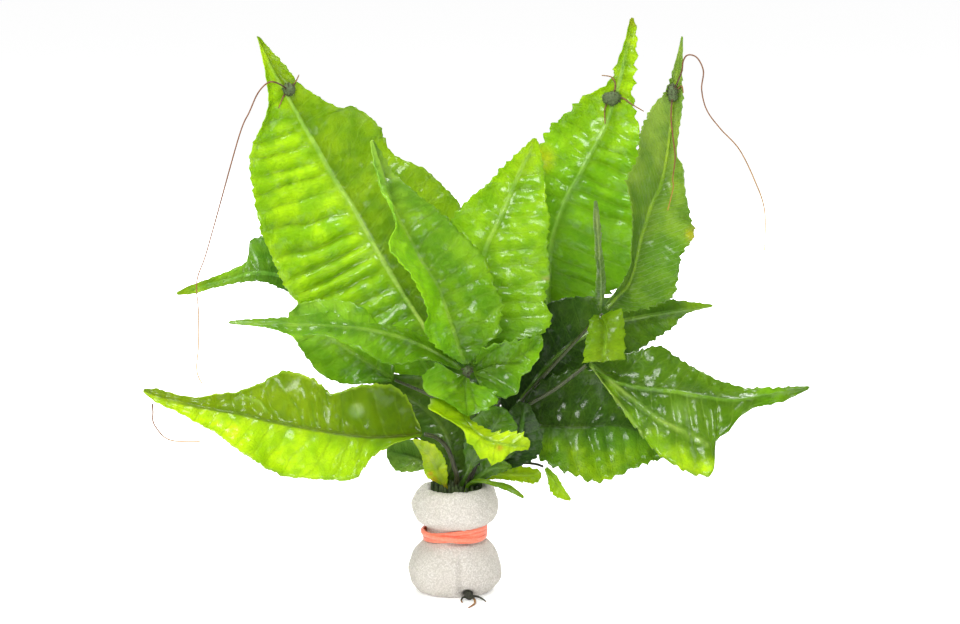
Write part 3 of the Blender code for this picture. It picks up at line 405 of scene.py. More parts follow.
# The rhizome: the dark creeping stem that the fronds grow from. It runs down through the foam and shows as
# a knobbly stub at the front, with short brown roots on it.
RHIZOME_PATH = (
    (0.3, 0.6, 26.3), (0.2, 0.2, 22.0), (0.9, -1.6, 14.0), (2.2, -5.4, 6.0), (3.6, -9.6, 1.9),
    (4.1, -12.7, 1.15),
)
RHIZOME_RADII = (4.9, 3.4, 2.8, 2.2, 1.5, 1.1)
ROOTLETS = (
    ((3.6, -12.8, 1.0), (2.3, -13.4, 0.9), (1.9, -14.8, 0.4), (2.2, -16.4, 0.25)),
    ((4.6, -13.2, 1.0), (5.6, -14.6, 0.9), (5.8, -17.6, 0.4), (4.9, -20.0, 0.25), (4.0, -22.0, 0.25)),
    ((5.0, -12.4, 1.2), (6.9, -13.0, 1.0), (8.3, -14.0, 0.5), (9.0, -15.4, 0.25)),
)
ROOTLET_RADII = (0.4, 0.16)


FROND_STUBS = 90
CROWN_PLACE = (0.3, 0.8)
CROWN_SPREAD = 6.6
CROWN_TOP = 32.4


def tube(bm, points, radii, sides=10):
    """A round tube with closed ends, swept in the bmesh along the points."""
    ring = None
    for index, point in enumerate(points):
        ahead_here = points[min(index + 1, len(points) - 1)] - points[max(index - 1, 0)]
        turn = ahead_here.to_track_quat("Z", "Y").to_matrix().to_4x4()
        turn.translation = point
        made = bmesh.ops.create_circle(bm, cap_ends=False, segments=sides, radius=radii[index], matrix=turn)
        edges = list({edge for vert in made["verts"] for edge in vert.link_edges})
        if ring is None:
            bmesh.ops.contextual_create(bm, geom=edges)
        else:
            bmesh.ops.bridge_loops(bm, edges=ring + edges)
        ring = edges
    bmesh.ops.contextual_create(bm, geom=ring)


def taper(start, end, count):
    """Radii that go evenly from start to end."""
    return [start + (end - start) * index / (count - 1) for index in range(count)]


bm = bmesh.new()
route = smooth_path([Vector(point) for point in RHIZOME_PATH], 7)
radii = [
    RHIZOME_RADII[index // 7] + (RHIZOME_RADII[min(index // 7 + 1, 5)] - RHIZOME_RADII[index // 7]) * (index % 7) / 7
    for index in range(len(route))
]
tube(bm, route + [route[-1] + Vector((0.3, -0.9, -0.2))], radii + [0.8], 24)
for vert in bm.verts:
    vert.co += vert.co.normalized() * noise.noise(vert.co * 0.9) * 0.35
for place in ROOTLETS:
    path = smooth_path([Vector(point) for point in place], 5)
    tube(bm, path, taper(*ROOTLET_RADII, len(path)), 8)
for number in range(FROND_STUBS):
    angle = math.tau * number * 0.618
    reach = CROWN_SPREAD * ((number + 0.5) / FROND_STUBS) ** 0.5
    tall = CROWN_TOP - 0.12 * reach + 0.1 * math.sin(angle) * reach + 1.8 * (number * 0.37 % 1.0)
    foot = Vector((CROWN_PLACE[0] + reach * math.cos(angle), CROWN_PLACE[1] + reach * math.sin(angle), 25.0))
    lean = Vector((math.cos(angle), math.sin(angle), 0.0)) * 0.12 * reach
    path = [foot, foot + Vector((0.0, 0.0, 2.0)) + lean * 0.4, Vector((foot.x, foot.y, tall)) + lean]
    tube(bm, path, (0.85, 0.75, 0.25 + 0.3 * (number * 0.71 % 1.0)), 6)
bmesh.ops.recalc_face_normals(bm, faces=bm.faces)

bark = Finish("rhizome_bark", Roughness=0.75)
spots = bark.place()
apart = bark.node("ShaderNodeSeparateXYZ", {}, {"Vector": spots}, output=1)
worn = bark.grain(0.9, 4.0, spots)
raised = bark.node("ShaderNodeSeparateXYZ", {}, {"Vector": spots}, output=2).step(24.0, 32.0)
dark = bark.mix(worn.step(0.3, 0.7), (0.012, 0.012, 0.008), (0.045, 0.045, 0.028))
green = bark.mix(worn.step(0.3, 0.7), (0.020, 0.034, 0.006), (0.060, 0.105, 0.016))
dark = bark.mix(raised * 0.85, dark, green)
bark.feed(bark.shader.inputs["Base Color"], bark.mix((apart * -1.0).step(14.4, 16.5), dark, (0.34, 0.15, 0.03)))
bark.feed(bark.shader.inputs["Normal"], bark.bump(bark.grain(2.2, 4.0, spots), 0.4, 0.7))
piece("rhizome_stub", bm, bark, "rhizome_bark", "rhizome")


# The stalks: wiry brown-green stems, finely ribbed, that carry the blades up from the rhizome's top. They
# are browner low down, near the foam, and greener higher up.
STALK_SIDES = 12
STALK_STEPS = 12
STALK_RIBS = 0.05
CROWN_CENTRE = (0.3, 0.6)
CROWN_HEIGHT = 27.3
CROWN_REACH = 2.3


def crown(angle, height=CROWN_HEIGHT, reach=CROWN_REACH):
    """A place on top of the rhizome, by its angle from +X."""
    turn = math.radians(angle)
    return Vector((CROWN_CENTRE[0] + reach * math.cos(turn), CROWN_CENTRE[1] + reach * math.sin(turn), height))


stem_finish = Finish("stalk_skin", Roughness=0.4)
spots = stem_finish.place()
streak = stem_finish.node("ShaderNodeMapping", {"vector_type": "POINT"}, {"Vector": spots, "Scale": (2.2, 2.2, 0.25)})
ribs = stem_finish.grain(1.6, 3.0, streak)
height_up = stem_finish.node("ShaderNodeSeparateXYZ", {}, {"Vector": spots}, output=2)
brown = stem_finish.mix(ribs.step(0.3, 0.7), (0.014, 0.013, 0.004), (0.044, 0.044, 0.010))
green = stem_finish.mix(ribs.step(0.3, 0.7), (0.020, 0.028, 0.006), (0.062, 0.100, 0.014))
stem_finish.feed(stem_finish.shader.inputs["Base Color"],
                 stem_finish.mix(height_up.step(30.0, 62.0) * 0.6, brown, green))
stem_finish.feed(stem_finish.shader.inputs["Roughness"], 0.3 + ribs * 0.25)
stem_finish.feed(stem_finish.shader.inputs["Normal"], stem_finish.bump(ribs, 0.12, 0.7))


def stalk(name, points, start_radius, end_radius):
    """A stalk along a smooth route, a little thicker at its foot."""
    route = smooth_path(points, STALK_STEPS)
    bm = bmesh.new()
    tube(bm, route, taper(start_radius * 0.95, end_radius * 0.8, len(route)), STALK_SIDES)
    bmesh.ops.recalc_face_normals(bm, faces=bm.faces)
    bm.normal_update()
    for vert in bm.verts:
        vert.co += vert.normal * noise.noise(vert.co * 1.3) * STALK_RIBS
    return piece(name + "_skin", bm, stem_finish, "stalk", name)


stalk("stem_front", [crown(-80), seen(5.2, 38.0, -3.0), seen(6.6, 46.0, -5.5), seen(5.0, 56.0, -8.0),
                     seen(3.3, 63.8, -9.4)], 0.75, 0.6)
stalk("stem_tall_left", [crown(118), seen(-2.4, 37.0, 6.5), seen(-3.6, 50.0, 10.0), seen(-5.0, 62.0, 10.0),
                         seen(-6.4, 72.0, 7.4)], 0.7, 0.6)
stalk("stem_back_left", [crown(168), seen(-5.4, 35.5, 5.0), seen(-17.0, 53.0, 15.0),
                         seen(-30.0, 76.0, 24.0), seen(-39.2, 90.0, 27.0)], 0.65, 0.5)
stalk("stem_upper_middle", [crown(68), seen(4.0, 38.0, 6.0), seen(12.0, 55.0, 12.0), seen(22.0, 70.0, 17.0),
                            seen(26.3, 79.4, 18.6)], 0.75, 0.6)
stalk("stem_upper_right", [crown(20), seen(6.5, 38.0, 2.6), seen(18.0, 55.0, 7.5), seen(33.0, 72.0, 6.0),
                           seen(42.6, 82.0, 0.4)], 0.75, 0.6)
stalk("stem_right", [crown(-28), seen(8.0, 38.5, -1.2), seen(13.5, 48.5, -2.0), seen(19.0, 54.0, -2.4),
                     seen(29.0, 60.0, -1.8), seen(38.0, 66.9, -1.2)], 0.7, 0.7)
stalk("stem_low_left", [crown(232), seen(0.0, 33.0, -4.4), seen(-0.6, 36.5, -6.4), seen(-2.8, 42.5, -8.6),
                        seen(-6.0, 45.6, -9.2), seen(-9.6, 46.7, -9.6)], 0.75, 0.75)
stalk("stem_crumpled", [seen(3.0, 53.6, -8.4), seen(-4.5, 56.6, -7.4), seen(-12.0, 60.0, -7.0),
                        seen(-18.2, 62.6, -6.6)], 0.6, 0.5)
stalk("stem_torn", [seen(5.0, 48.0, -7.6), seen(3.2, 51.0, -12.0), seen(1.1, 55.3, -17.7)], 0.5, 0.5)
stalk("stem_narrow", [crown(12, 27.2, 3.9), seen(5.6, 32.4, 3.4), seen(9.4, 35.6, 3.9),
                      seen(17.0, 38.0, 3.0),
                      seen(22.5, 38.0, 0.6), seen(25.3, 37.2, -1.7)], 0.5, 0.5)


# The blades: thin, soft and a little see-through, each drawn between its left margin, midrib and right
# margin. Side veins run out from the midrib to a toothed edge, and the skin puffs up between them.
# Their colour is partly pigment, which goes with the frond's age: young ones are yellow-green, old ones
# deep green. It is partly painted light and shade too: darker towards each base and on the blades deep in
# the bunch, lighter or darker on one half, lighter on the puffs and darker in the grooves between them.
BLADE_COLUMNS = 44
BLADE_CROWDING = 1.6
BLADE_ROW = 0.5
BLADE_ROWS = (48, 225)
BLADE_WALL = 0.28
BLADE_END = 0.997
BULGE_WIDTH = 6.0
RIB_HALF = 0.45


class Edge:
    """A smooth curve that is read by the share of its length."""

    def __init__(self, points):
        self.points = smooth_path(points)
        self.marks = [0.0]
        for first, second in zip(self.points, self.points[1:]):
            self.marks.append(self.marks[-1] + (second - first).length)

    def at(self, share):
        mark = min(max(share, 0.0), 1.0) * self.marks[-1]
        index = min(max(bisect.bisect_left(self.marks, mark) - 1, 0), len(self.marks) - 2)
        span = self.marks[index + 1] - self.marks[index]
        return self.points[index].lerp(self.points[index + 1], (mark - self.marks[index]) / max(span, 1e-9))


def reading(point):
    """Where the eye sees a point: how far right and how far up, in millimetres."""
    sight = point - eye
    hit = eye + sight * (EYE_DISTANCE / sight.dot(ahead))
    return Vector((hit.x + FOOT_SEEN[0], hit.dot(tilt_up) + FOOT_SEEN[1]))


def from_line(spot, start, end):
    """How far a spot is from a straight line between two points."""
    along = end - start
    share = min(max((spot - start).dot(along) / along.length_squared, 0.0), 1.0)
    return (spot - start - along * share).length


def chance(number):
    """A fraction from 0 to 1 that is always the same for a number."""
    return (math.sin(number * 12.9898 + 4.1) * 43758.5453) % 1.0


def between(colours, share):
    """A colour from a list that is spread evenly from base to tip."""
    place = min(max(share, 0.0), 1.0) * (len(colours) - 1)
    index = min(int(place), len(colours) - 2)
    return Vector(colours[index]).lerp(Vector(colours[index + 1]), place - index)


def leaf_finish(name, through, share_through, vein, vein_share, net_share, gloss, film):
    """Leaf skin: the blade's tint of pigment with painted light and shade, side veins, a net of small veins, and a
    broken film of water.
    """
    made = Finish(name, IOR=1.45, Specular_IOR_Level=0.14, Coat_Roughness=0.2, Coat_IOR=1.5)
    tint = made.node("ShaderNodeAttribute", {"attribute_name": "leaf_tint"}, output=0)
    place = made.node("ShaderNodeAttribute", {"attribute_name": "leaf_place"}, output=1)
    phase, across, along = (
        made.node("ShaderNodeSeparateXYZ", {}, {"Vector": place}, output=axis) for axis in range(3))
    line = (phase.combine("FRACT", None) - 0.5).size().step(0.42, 0.5)
    cells = made.node("ShaderNodeCombineXYZ", {}, {"X": phase * 3.2, "Y": across * 0.5, "Z": 0.0})
    gaps = made.node("ShaderNodeTexVoronoi", {"feature": "DISTANCE_TO_EDGE"}, {"Vector": cells, "Scale": 1.0})
    net = 1.0 - gaps.step(0.0, 0.16)
    spots = made.place()
    broad = made.grain(0.12, 2.0, spots)
    pools = made.grain(0.16, 3.0, spots, 0.65)
    small = made.grain(0.5, 4.0, spots)
    fine = made.grain(2.6, 3.0, spots)
    streak_place = made.node("ShaderNodeCombineXYZ", {}, {"X": phase * 9.0, "Y": across * 0.3, "Z": along * 0.02})
    streak = made.grain(1.0, 3.0, streak_place)
    deep = made.mix(1.0, tint, (0.50, 0.62, 0.5), "MULTIPLY")
    lively = made.mix(1.0, tint, (1.3, 1.15, 1.0), "MULTIPLY")
    mottled = made.mix(broad.step(0.35, 0.65), deep, lively)
    mottled = made.mix(0.75, tint, mottled)
    mottled = made.mix(small.step(0.52, 0.75) * 0.3, mottled, deep)
    mottled = made.mix(streak.step(0.45, 0.75) * 0.35, mottled, deep)
    veined = made.mix(net * net_share, mottled, vein)
    veined = made.mix(line * vein_share, veined, vein)
    made.feed(made.shader.inputs["Base Color"], veined)
    wet = pools.step(0.40, 0.52) * small.step(0.40, 0.52)
    made.feed(made.shader.inputs["Coat Weight"], wet * film)
    made.feed(made.shader.inputs["Roughness"], gloss - wet * 0.2 + fine * 0.08)
    ridges = made.bump(line * 0.5 + net * 0.4 + streak * 0.35, 0.22, 0.7)
    skin = made.bump(small * 0.9 + fine * 0.2, 1.0, 0.75, ridges)
    made.feed(made.shader.inputs["Normal"], skin)
    glow = made.nodes.new("ShaderNodeBsdfTranslucent")
    glow.inputs["Color"].default_value = (*through, 1.0)
    both = made.nodes.new("ShaderNodeMixShader")
    both.inputs["Fac"].default_value = share_through
    made.links.new(made.shader.outputs["BSDF"], both.inputs[1])
    made.links.new(glow.outputs["BSDF"], both.inputs[2])
    made.links.new(both.outputs["Shader"], made.nodes["Material Output"].inputs["Surface"])
    return made


fresh = leaf_finish("leaf_fresh", (0.46, 0.72, 0.002), 0.32, (0.42, 0.66, 0.08), 0.14, 0.08, 0.50, 1.0)
yellow = leaf_finish("leaf_yellow", (0.60, 0.82, 0.002), 0.36, (0.20, 0.34, 0.01), 0.30, 0.14, 0.50, 0.8)
deep = leaf_finish("leaf_deep", (0.14, 0.28, 0.002), 0.20, (0.14, 0.30, 0.03), 0.14, 0.10, 0.52, 0.7)
pale = leaf_finish("leaf_pale", (0.34, 0.52, 0.01), 0.26, (0.46, 0.60, 0.24), 0.35, 0.12, 0.54, 0.5)
SLOTS = {"leaf_fresh": fresh, "leaf_yellow": yellow, "leaf_deep": deep, "leaf_pale": pale}
blades = {}


def blade(node, slot, left, mid, right, arch, pigment_and_shade, rib, sides=(1.0, 1.0), edge=None, spots=(),
          spacing=5.0, slant=(0.45, 0.45), ripple=(0.4, 0.4), furrow=(0.5, 9.0), rise=0.4, teeth=(0.9, 3.2),
          wave=0.6, rumple=0.6, folds=()):
    """A blade with its veins, teeth and colour: pigment with painted light and shade."""
    left_edge, mid_edge, right_edge = (Edge([seen(*point) for point in side]) for side in (left, mid, right))
    length = mid_edge.marks[-1]
    seed = sum(ord(letter) for letter in node) % 97
    rows = min(max(int(length / BLADE_ROW), BLADE_ROWS[0]), BLADE_ROWS[1])
    bm = bmesh.new()
    bmesh.ops.create_grid(bm, x_segments=BLADE_COLUMNS, y_segments=rows, size=1.0)
    place_layer = bm.verts.layers.float_vector.new("leaf_place")
    tint_and_shade_layer = bm.verts.layers.float_color.new("leaf_tint")
    frames = {}
    for vert in bm.verts:
        share = BLADE_END * (vert.co.y + 1.0) / 2.0
        mark = round(share, 5)
        if mark not in frames:
            along = mid_edge.at(share + 0.02) - mid_edge.at(share - 0.02)
            ends = (left_edge.at(share), right_edge.at(share))
            frames[mark] = (mid_edge.at(share), ends, along.cross(ends[1] - ends[0]).normalized())
        centre, ends, bulge = frames[mark]
        hand = 0 if vert.co.x < 0 else 1
        reach = abs(vert.co.x) ** BLADE_CROWDING
        across = ends[hand] - centre
        half = across.length
        out = reach * half
        run = share * length
        broad = min(1.0, half / BULGE_WIDTH)
        drift = 0.6 * noise.noise(Vector((run * 0.06, hand * 5.0, seed)))
        drift += 0.15 * noise.noise(Vector((run * 0.3, out * 0.12, seed)))
        phase = (run - slant[hand] * out) / spacing + drift
        strong = 0.3 + 0.7 * math.exp(-((share - furrow[0]) / furrow[1]) ** 2)
        crest = abs(math.sin(math.pi * phase)) - 0.6
        lift = ripple[hand] * strong * soft_step(reach, 0.02, 0.2) * (1.0 - 0.75 * soft_step(reach, 0.7, 1.0))
        lift *= broad * (0.3 + 1.2 * chance(math.floor(phase) + seed))
        puff = lift * crest
        ridge = rise * math.exp(-(out / RIB_HALF) ** 2) * (1.0 - 0.75 * share)
        sway = math.sin(math.tau * run / 24.0 + seed + 2.0 * hand) + 1.2 * noise.noise(
            Vector((run * 0.16, hand * 9.0, seed * 1.3)))
        rough = noise.noise(Vector((run * 0.1, out * (2 * hand - 1) * 0.1, seed * 0.7))) * rumple
        crimp = noise.noise(Vector((run * 0.45, out * (2 * hand - 1) * 0.3, seed * 0.3))) * rumple * 0.35
        back = arch * broad * 4.0 * reach * (1.0 - reach) - puff - ridge
        back += (wave * reach * reach * sway + rough + crimp) * broad
        count = run / teeth[1] + 0.35 * noise.noise(Vector((run * 0.2, hand * 3.0, seed * 0.9)))
        within = count % 1.0
        tooth = within ** 1.3 if within < 0.82 else (1.0 - within) / 0.18
        size = teeth[0] * (0.35 + 0.9 * chance(math.floor(count) + seed + 31 * hand))
        size *= soft_step(share, 0.02, 0.12) * min(1.0, half / 3.0)
        nick = 0.45 * noise.noise(Vector((run * 1.3, hand * 7.0, seed))) * min(1.0, half / 3.0)
        ragged = (tooth - 0.45) * size + nick
        push = across.normalized() * ragged * soft_step(reach, 0.72, 1.0) if half > 1e-6 else Vector()
        vert.co = centre + across * reach + bulge * back + push
        vert[place_layer] = Vector((phase, out * (2 * hand - 1), run))
        # Painted shade in the tones: each blade darkens towards its base among the stalks, and the blades deep in the
        # bunch are painted dark.
        # sides makes one half of the blade lighter or darker: painted light and shade.
        tone_and_shade = between(pigment_and_shade, share) * sides[hand] * (0.75 + 0.25 * soft_step(out, 0.5, 4.5))
        # Painted light and shade: each puff is lighter on its crest and darker in the groove by its side vein.
        tone_and_shade *= 1.0 + 0.22 * min(lift, 2.4) * crest
        # edge paints a pale painted highlight along the margin.
        if edge:
            tone_and_shade = tone_and_shade.lerp(Vector(edge), 0.8 * soft_step(reach, 0.93, 1.0) * soft_step(half, 1.0, 3.0))
        # Spots of colour placed where the eye sees them: the orange and yellow ones are stains, while the pale ones and
        # the bright green ones on leaf_low_right and leaf_long_right are painted sheen and painted light.
        for right_mm, up_mm, radius, colour in spots:
            apart = (reading(vert.co) - Vector((right_mm, up_mm))).length
            patchy = 0.75 + 0.5 * noise.noise(Vector((run * 0.5, out * 0.5, seed)))
            tone_and_shade = tone_and_shade.lerp(Vector(colour), min(1.0, (1.0 - soft_step(apart, radius * 0.3, radius)) * patchy))
        # Fold lines are pressed in or raised and tinted along their length: dark in leaf_low_left's creases as painted
        # shade, pale on raised folds as painted highlights, and dark along the leaflets' lines from the bud.
        for width, height, colour, line in folds:
            seen_at = reading(vert.co)
            close = min(from_line(seen_at, Vector(start), Vector(end)) for start, end in zip(line, line[1:]))
            ridge = math.exp(-(close / width) ** 2)
            vert.co -= bulge * height * ridge
            tone_and_shade = tone_and_shade.lerp(Vector(colour), 0.75 * ridge)
        spine = (1.0 - soft_step(out, 0.4, 0.7)) * (1.0 - soft_step(share, 0.8, 0.97)) * soft_step(half, 0.6, 2.0)
        tone_and_shade = tone_and_shade.lerp(between(rib, share), spine)
        vert[tint_and_shade_layer] = (*tone_and_shade, 1.0)
    made = piece(node + "_skin", bm, SLOTS[slot], slot, node)
    wall = made.modifiers.new("thickness", "SOLIDIFY")
    wall.thickness = BLADE_WALL * MM
    wall.offset = 0.0
    blades[node] = made
    return made


blade("leaf_tall_left", "leaf_fresh",
      left=((-7.4, 72.4, 7.2), (-17.0, 76.0, 8.0), (-31.5, 77.5, 8.0), (-43.0, 82.0, 8.0),
            (-50.0, 89.0, 7.0),
            (-55.0, 100.5, 6.0), (-58.0, 107.0, 6.0), (-60.5, 122.5, 7.0), (-60.3, 130.0, 8.0),
            (-57.5, 137.5, 10.0), (-55.0, 146.0, 12.0), (-56.0, 152.0, 14.0), (-58.6, 163.5, 16.0)),
      mid=((-6.8, 72.8, 7.4), (-9.7, 78.5, 9.0), (-14.0, 85.0, 11.0), (-19.5, 94.0, 13.0),
           (-30.5, 113.0, 16.0),
           (-37.0, 123.5, 17.5), (-47.0, 141.0, 18.0), (-53.5, 152.5, 17.0), (-59.0, 164.0, 16.0)),
      right=((-6.2, 73.2, 7.6), (-4.0, 79.0, 12.0), (-1.5, 89.0, 17.0), (1.5, 101.0, 20.0),
             (2.0, 112.5, 22.0),
             (-8.0, 123.5, 23.0), (-14.0, 126.5, 23.5), (-19.0, 129.7, 24.0), (-23.0, 138.0, 24.0),
             (-30.5, 143.0, 23.0), (-34.5, 142.6, 22.0), (-43.5, 148.0, 20.0), (-52.0, 156.5, 18.0),
             (-58.4, 163.8, 16.0)),
      # Its dark base tone is painted shade among the stalks, and sides darkens its right half as painted shade.
      arch=1.2, pigment_and_shade=((0.12, 0.30, 0.006), (0.28, 0.54, 0.005), (0.38, 0.66, 0.005),
            (0.37, 0.66, 0.005), (0.62, 0.92, 0.008)),
      rib=((0.40, 0.60, 0.12), (0.38, 0.64, 0.10)), spacing=5.3, slant=(0.25, 0.6), ripple=(2.3, 0.5),
            furrow=(0.42, 0.24),
      sides=(1.05, 0.56), teeth=(0.8, 3.0), wave=0.8, rumple=0.8)

blade("leaf_front_folded", "leaf_fresh",
      left=((2.0, 67.0, -11.4), (-7.0, 73.0, -17.0), (-9.5, 78.0, -19.0), (-8.5, 82.5, -20.5),
            (-12.5, 92.0, -23.0), (-20.0, 101.0, -24.0), (-17.5, 108.5, -22.0), (-19.2, 114.5, -19.0),
            (-22.7, 118.0, -16.0), (-24.8, 129.5, -11.0), (-25.4, 133.0, -10.0)),
      mid=((2.6, 67.2, -11.2), (1.0, 71.0, -12.0), (-1.5, 78.5, -12.0), (-5.0, 88.0, -12.0),
           (-10.0, 97.0, -12.0),
           (-14.5, 105.5, -11.0), (-19.5, 115.5, -10.0), (-22.5, 126.0, -9.5), (-25.0, 133.5, -9.5)),
      right=((3.2, 67.2, -11.2), (9.5, 73.5, -13.0), (13.0, 76.5, -13.0), (13.0, 80.5, -12.0),
             (14.0, 85.0, -11.0),
             (10.5, 91.0, -9.0), (8.0, 98.5, -7.0), (3.5, 104.0, -5.0), (-1.5, 109.5, -4.0),
             (-5.0, 112.5, -3.0), (-12.0, 116.5, -4.0), (-19.5, 126.0, -6.0), (-24.4, 133.0, -9.0)),
      arch=0.8, pigment_and_shade=((0.12, 0.32, 0.006), (0.22, 0.50, 0.005), (0.26, 0.54, 0.02), (0.34, 0.58, 0.08)),
      rib=((0.20, 0.40, 0.03), (0.30, 0.52, 0.06)), sides=(1.5, 0.8), ripple=(0.4, 0.7), rise=0.1,
      teeth=(1.2, 2.6), wave=0.8, rumple=1.0)

blade("leaf_centre_right", "leaf_fresh",
      left=((3.9, 66.9, -10.2), (1.5, 75.0, -3.0), (0.0, 90.0, 2.0), (-2.0, 104.0, 6.0), (-1.5, 110.5, 7.0),
            (3.5, 115.5, 8.0), (9.5, 120.5, 8.5), (12.5, 124.5, 9.0), (19.5, 131.0, 9.0),
            (22.5, 133.8, 9.0)),
      mid=((4.5, 66.7, -10.2), (5.5, 83.0, -1.0), (8.0, 99.5, 3.0), (13.0, 110.5, 6.0), (17.0, 120.5, 8.0),
           (23.0, 134.0, 9.0)),
      right=((5.1, 66.4, -10.2), (15.0, 73.0, -7.0), (24.5, 75.5, -6.0), (28.0, 80.5, -5.0),
             (26.0, 85.5, -4.0),
             (27.0, 92.5, -3.0), (27.0, 103.5, 0.0), (27.5, 110.0, 2.0), (26.0, 116.5, 4.0),
             (25.5, 125.5, 7.0), (23.5, 133.8, 9.0)),
      arch=1.0, pigment_and_shade=((0.09, 0.25, 0.006), (0.20, 0.45, 0.005), (0.27, 0.54, 0.005), (0.42, 0.72, 0.005)),
      rib=((0.28, 0.48, 0.06), (0.34, 0.58, 0.08)), ripple=(0.4, 0.55), teeth=(1.3, 2.6),
            wave=0.8, rumple=0.9,
      spots=((26.5, 92.5, 1.2, (0.75, 0.50, 0.25)),))

blade("leaf_upper_middle", "leaf_fresh",
      left=((26.0, 80.4, 19.0), (17.0, 90.0, 20.0), (14.0, 102.0, 22.0), (17.0, 113.0, 24.0),
            (22.5, 124.0, 25.0), (24.5, 132.0, 25.5), (27.0, 137.0, 26.0), (31.5, 140.5, 26.0),
            (37.5, 146.0, 26.0), (44.0, 149.5, 26.0), (46.0, 153.5, 26.0), (49.0, 161.0, 26.0),
            (51.0, 169.0, 26.0)),
      mid=((26.7, 80.4, 19.0), (27.0, 92.0, 20.0), (28.0, 104.0, 21.0), (32.0, 116.0, 22.5),
           (35.5, 122.0, 23.0),
           (39.5, 129.5, 24.0), (43.5, 137.0, 25.0), (48.0, 151.0, 26.0), (51.5, 169.5, 26.0)),
      right=((27.4, 80.4, 19.0), (39.0, 86.0, 22.0), (49.5, 90.5, 23.0), (54.5, 98.0, 22.0),
             (56.0, 106.0, 21.0),
             (55.0, 116.0, 21.0), (53.5, 129.5, 22.0), (54.0, 134.5, 22.5), (52.5, 141.0, 23.5),
             (52.0, 147.0, 24.5), (52.5, 153.5, 25.5), (53.0, 164.0, 26.0), (52.0, 169.3, 26.0)),
      arch=1.0, pigment_and_shade=((0.05, 0.15, 0.008), (0.12, 0.32, 0.006), (0.20, 0.46, 0.005), (0.38, 0.66, 0.005),
             (0.52, 0.76, 0.005)),
      rib=((0.22, 0.42, 0.05), (0.40, 0.64, 0.14)), ripple=(0.5, 1.0), slant=(0.5, 0.1), teeth=(2.1, 3.7),
      wave=0.9, rumple=0.9, spots=((24.5, 127.5, 6.0, (0.56, 0.60, 0.006)),
            (21.5, 119.0, 3.0, (0.55, 0.42, 0.006)),
                       (51.8, 168.6, 3.0, (0.55, 0.42, 0.02))))

blade("leaf_upper_right", "leaf_pale",
      left=((43.0, 83.6, 0.8), (46.0, 88.0, 2.0), (49.0, 92.5, 4.0), (51.5, 97.0, 5.5), (51.5, 104.0, 6.5),
            (51.5, 109.5, 7.0), (51.0, 115.0, 7.0), (50.0, 121.5, 7.0), (53.0, 128.0, 8.5),
            (54.0, 136.0, 10.5),
            (57.5, 143.0, 12.5), (61.5, 148.0, 14.0), (64.5, 157.0, 15.0), (66.0, 163.5, 15.0)),
      mid=((43.6, 83.3, 0.7), (47.5, 87.5, 4.0), (51.2, 92.0, 8.0), (53.8, 103.0, 11.0),
            (57.0, 113.5, 12.5),
           (60.5, 121.5, 13.5), (63.0, 137.0, 14.5), (63.8, 145.0, 15.0), (66.2, 164.0, 15.0)),
      right=((44.2, 83.0, 0.7), (53.0, 83.0, 5.0), (62.5, 86.0, 8.0), (64.5, 92.0, 9.0), (66.0, 99.0, 8.5),
             (70.0, 105.0, 7.0), (68.5, 111.0, 7.5), (67.0, 119.0, 9.0), (66.5, 125.5, 10.5),
             (64.8, 128.5, 11.0), (65.5, 136.5, 12.0), (66.5, 145.5, 13.5), (66.3, 150.0, 14.5),
             (66.5, 163.8, 15.0)),
      arch=0.8, pigment_and_shade=((0.10, 0.24, 0.008), (0.14, 0.32, 0.008), (0.22, 0.40, 0.03), (0.28, 0.47, 0.06),
             (0.40, 0.64, 0.08)),
      rib=((0.24, 0.46, 0.02), (0.36, 0.56, 0.03)), spacing=1.7, slant=(1.3, 1.0), ripple=(0.12, 0.15),
            rise=0.6,
      teeth=(1.2, 2.4), wave=0.9, rumple=1.0, spots=((70.0, 105.3, 3.5, (0.56, 0.50, 0.006)),
            (63.0, 99.0, 9.0, (0.15, 0.36, 0.006))))

blade("leaf_back_left", "leaf_deep",
      left=((-40.2, 90.2, 27.2), (-48.0, 88.4, 27.0), (-56.5, 91.3, 26.0), (-63.5, 91.3, 25.0),
            (-72.5, 89.4, 24.0), (-77.0, 88.0, 23.0), (-82.3, 87.6, 22.0)),
      mid=((-39.8, 90.8, 27.2), (-50.0, 93.0, 28.0), (-59.5, 94.0, 27.0), (-68.0, 92.0, 25.5),
           (-76.0, 89.8, 24.0),
           (-82.6, 88.0, 22.0)),
      right=((-39.4, 91.4, 27.2), (-45.0, 99.0, 31.0), (-53.5, 104.0, 32.0), (-60.5, 104.0, 31.0),
             (-61.0, 98.6, 29.0), (-66.0, 95.4, 27.5), (-73.0, 92.4, 25.0), (-79.0, 90.2, 23.5),
             (-82.4, 88.4, 22.0)),
      arch=0.0, pigment_and_shade=((0.05, 0.13, 0.008), (0.09, 0.24, 0.01), (0.12, 0.30, 0.01), (0.24, 0.50, 0.01),
            (0.46, 0.70, 0.01)),
      rib=((0.12, 0.32, 0.04), (0.20, 0.44, 0.03)), teeth=(0.7, 2.8), wave=0.6)

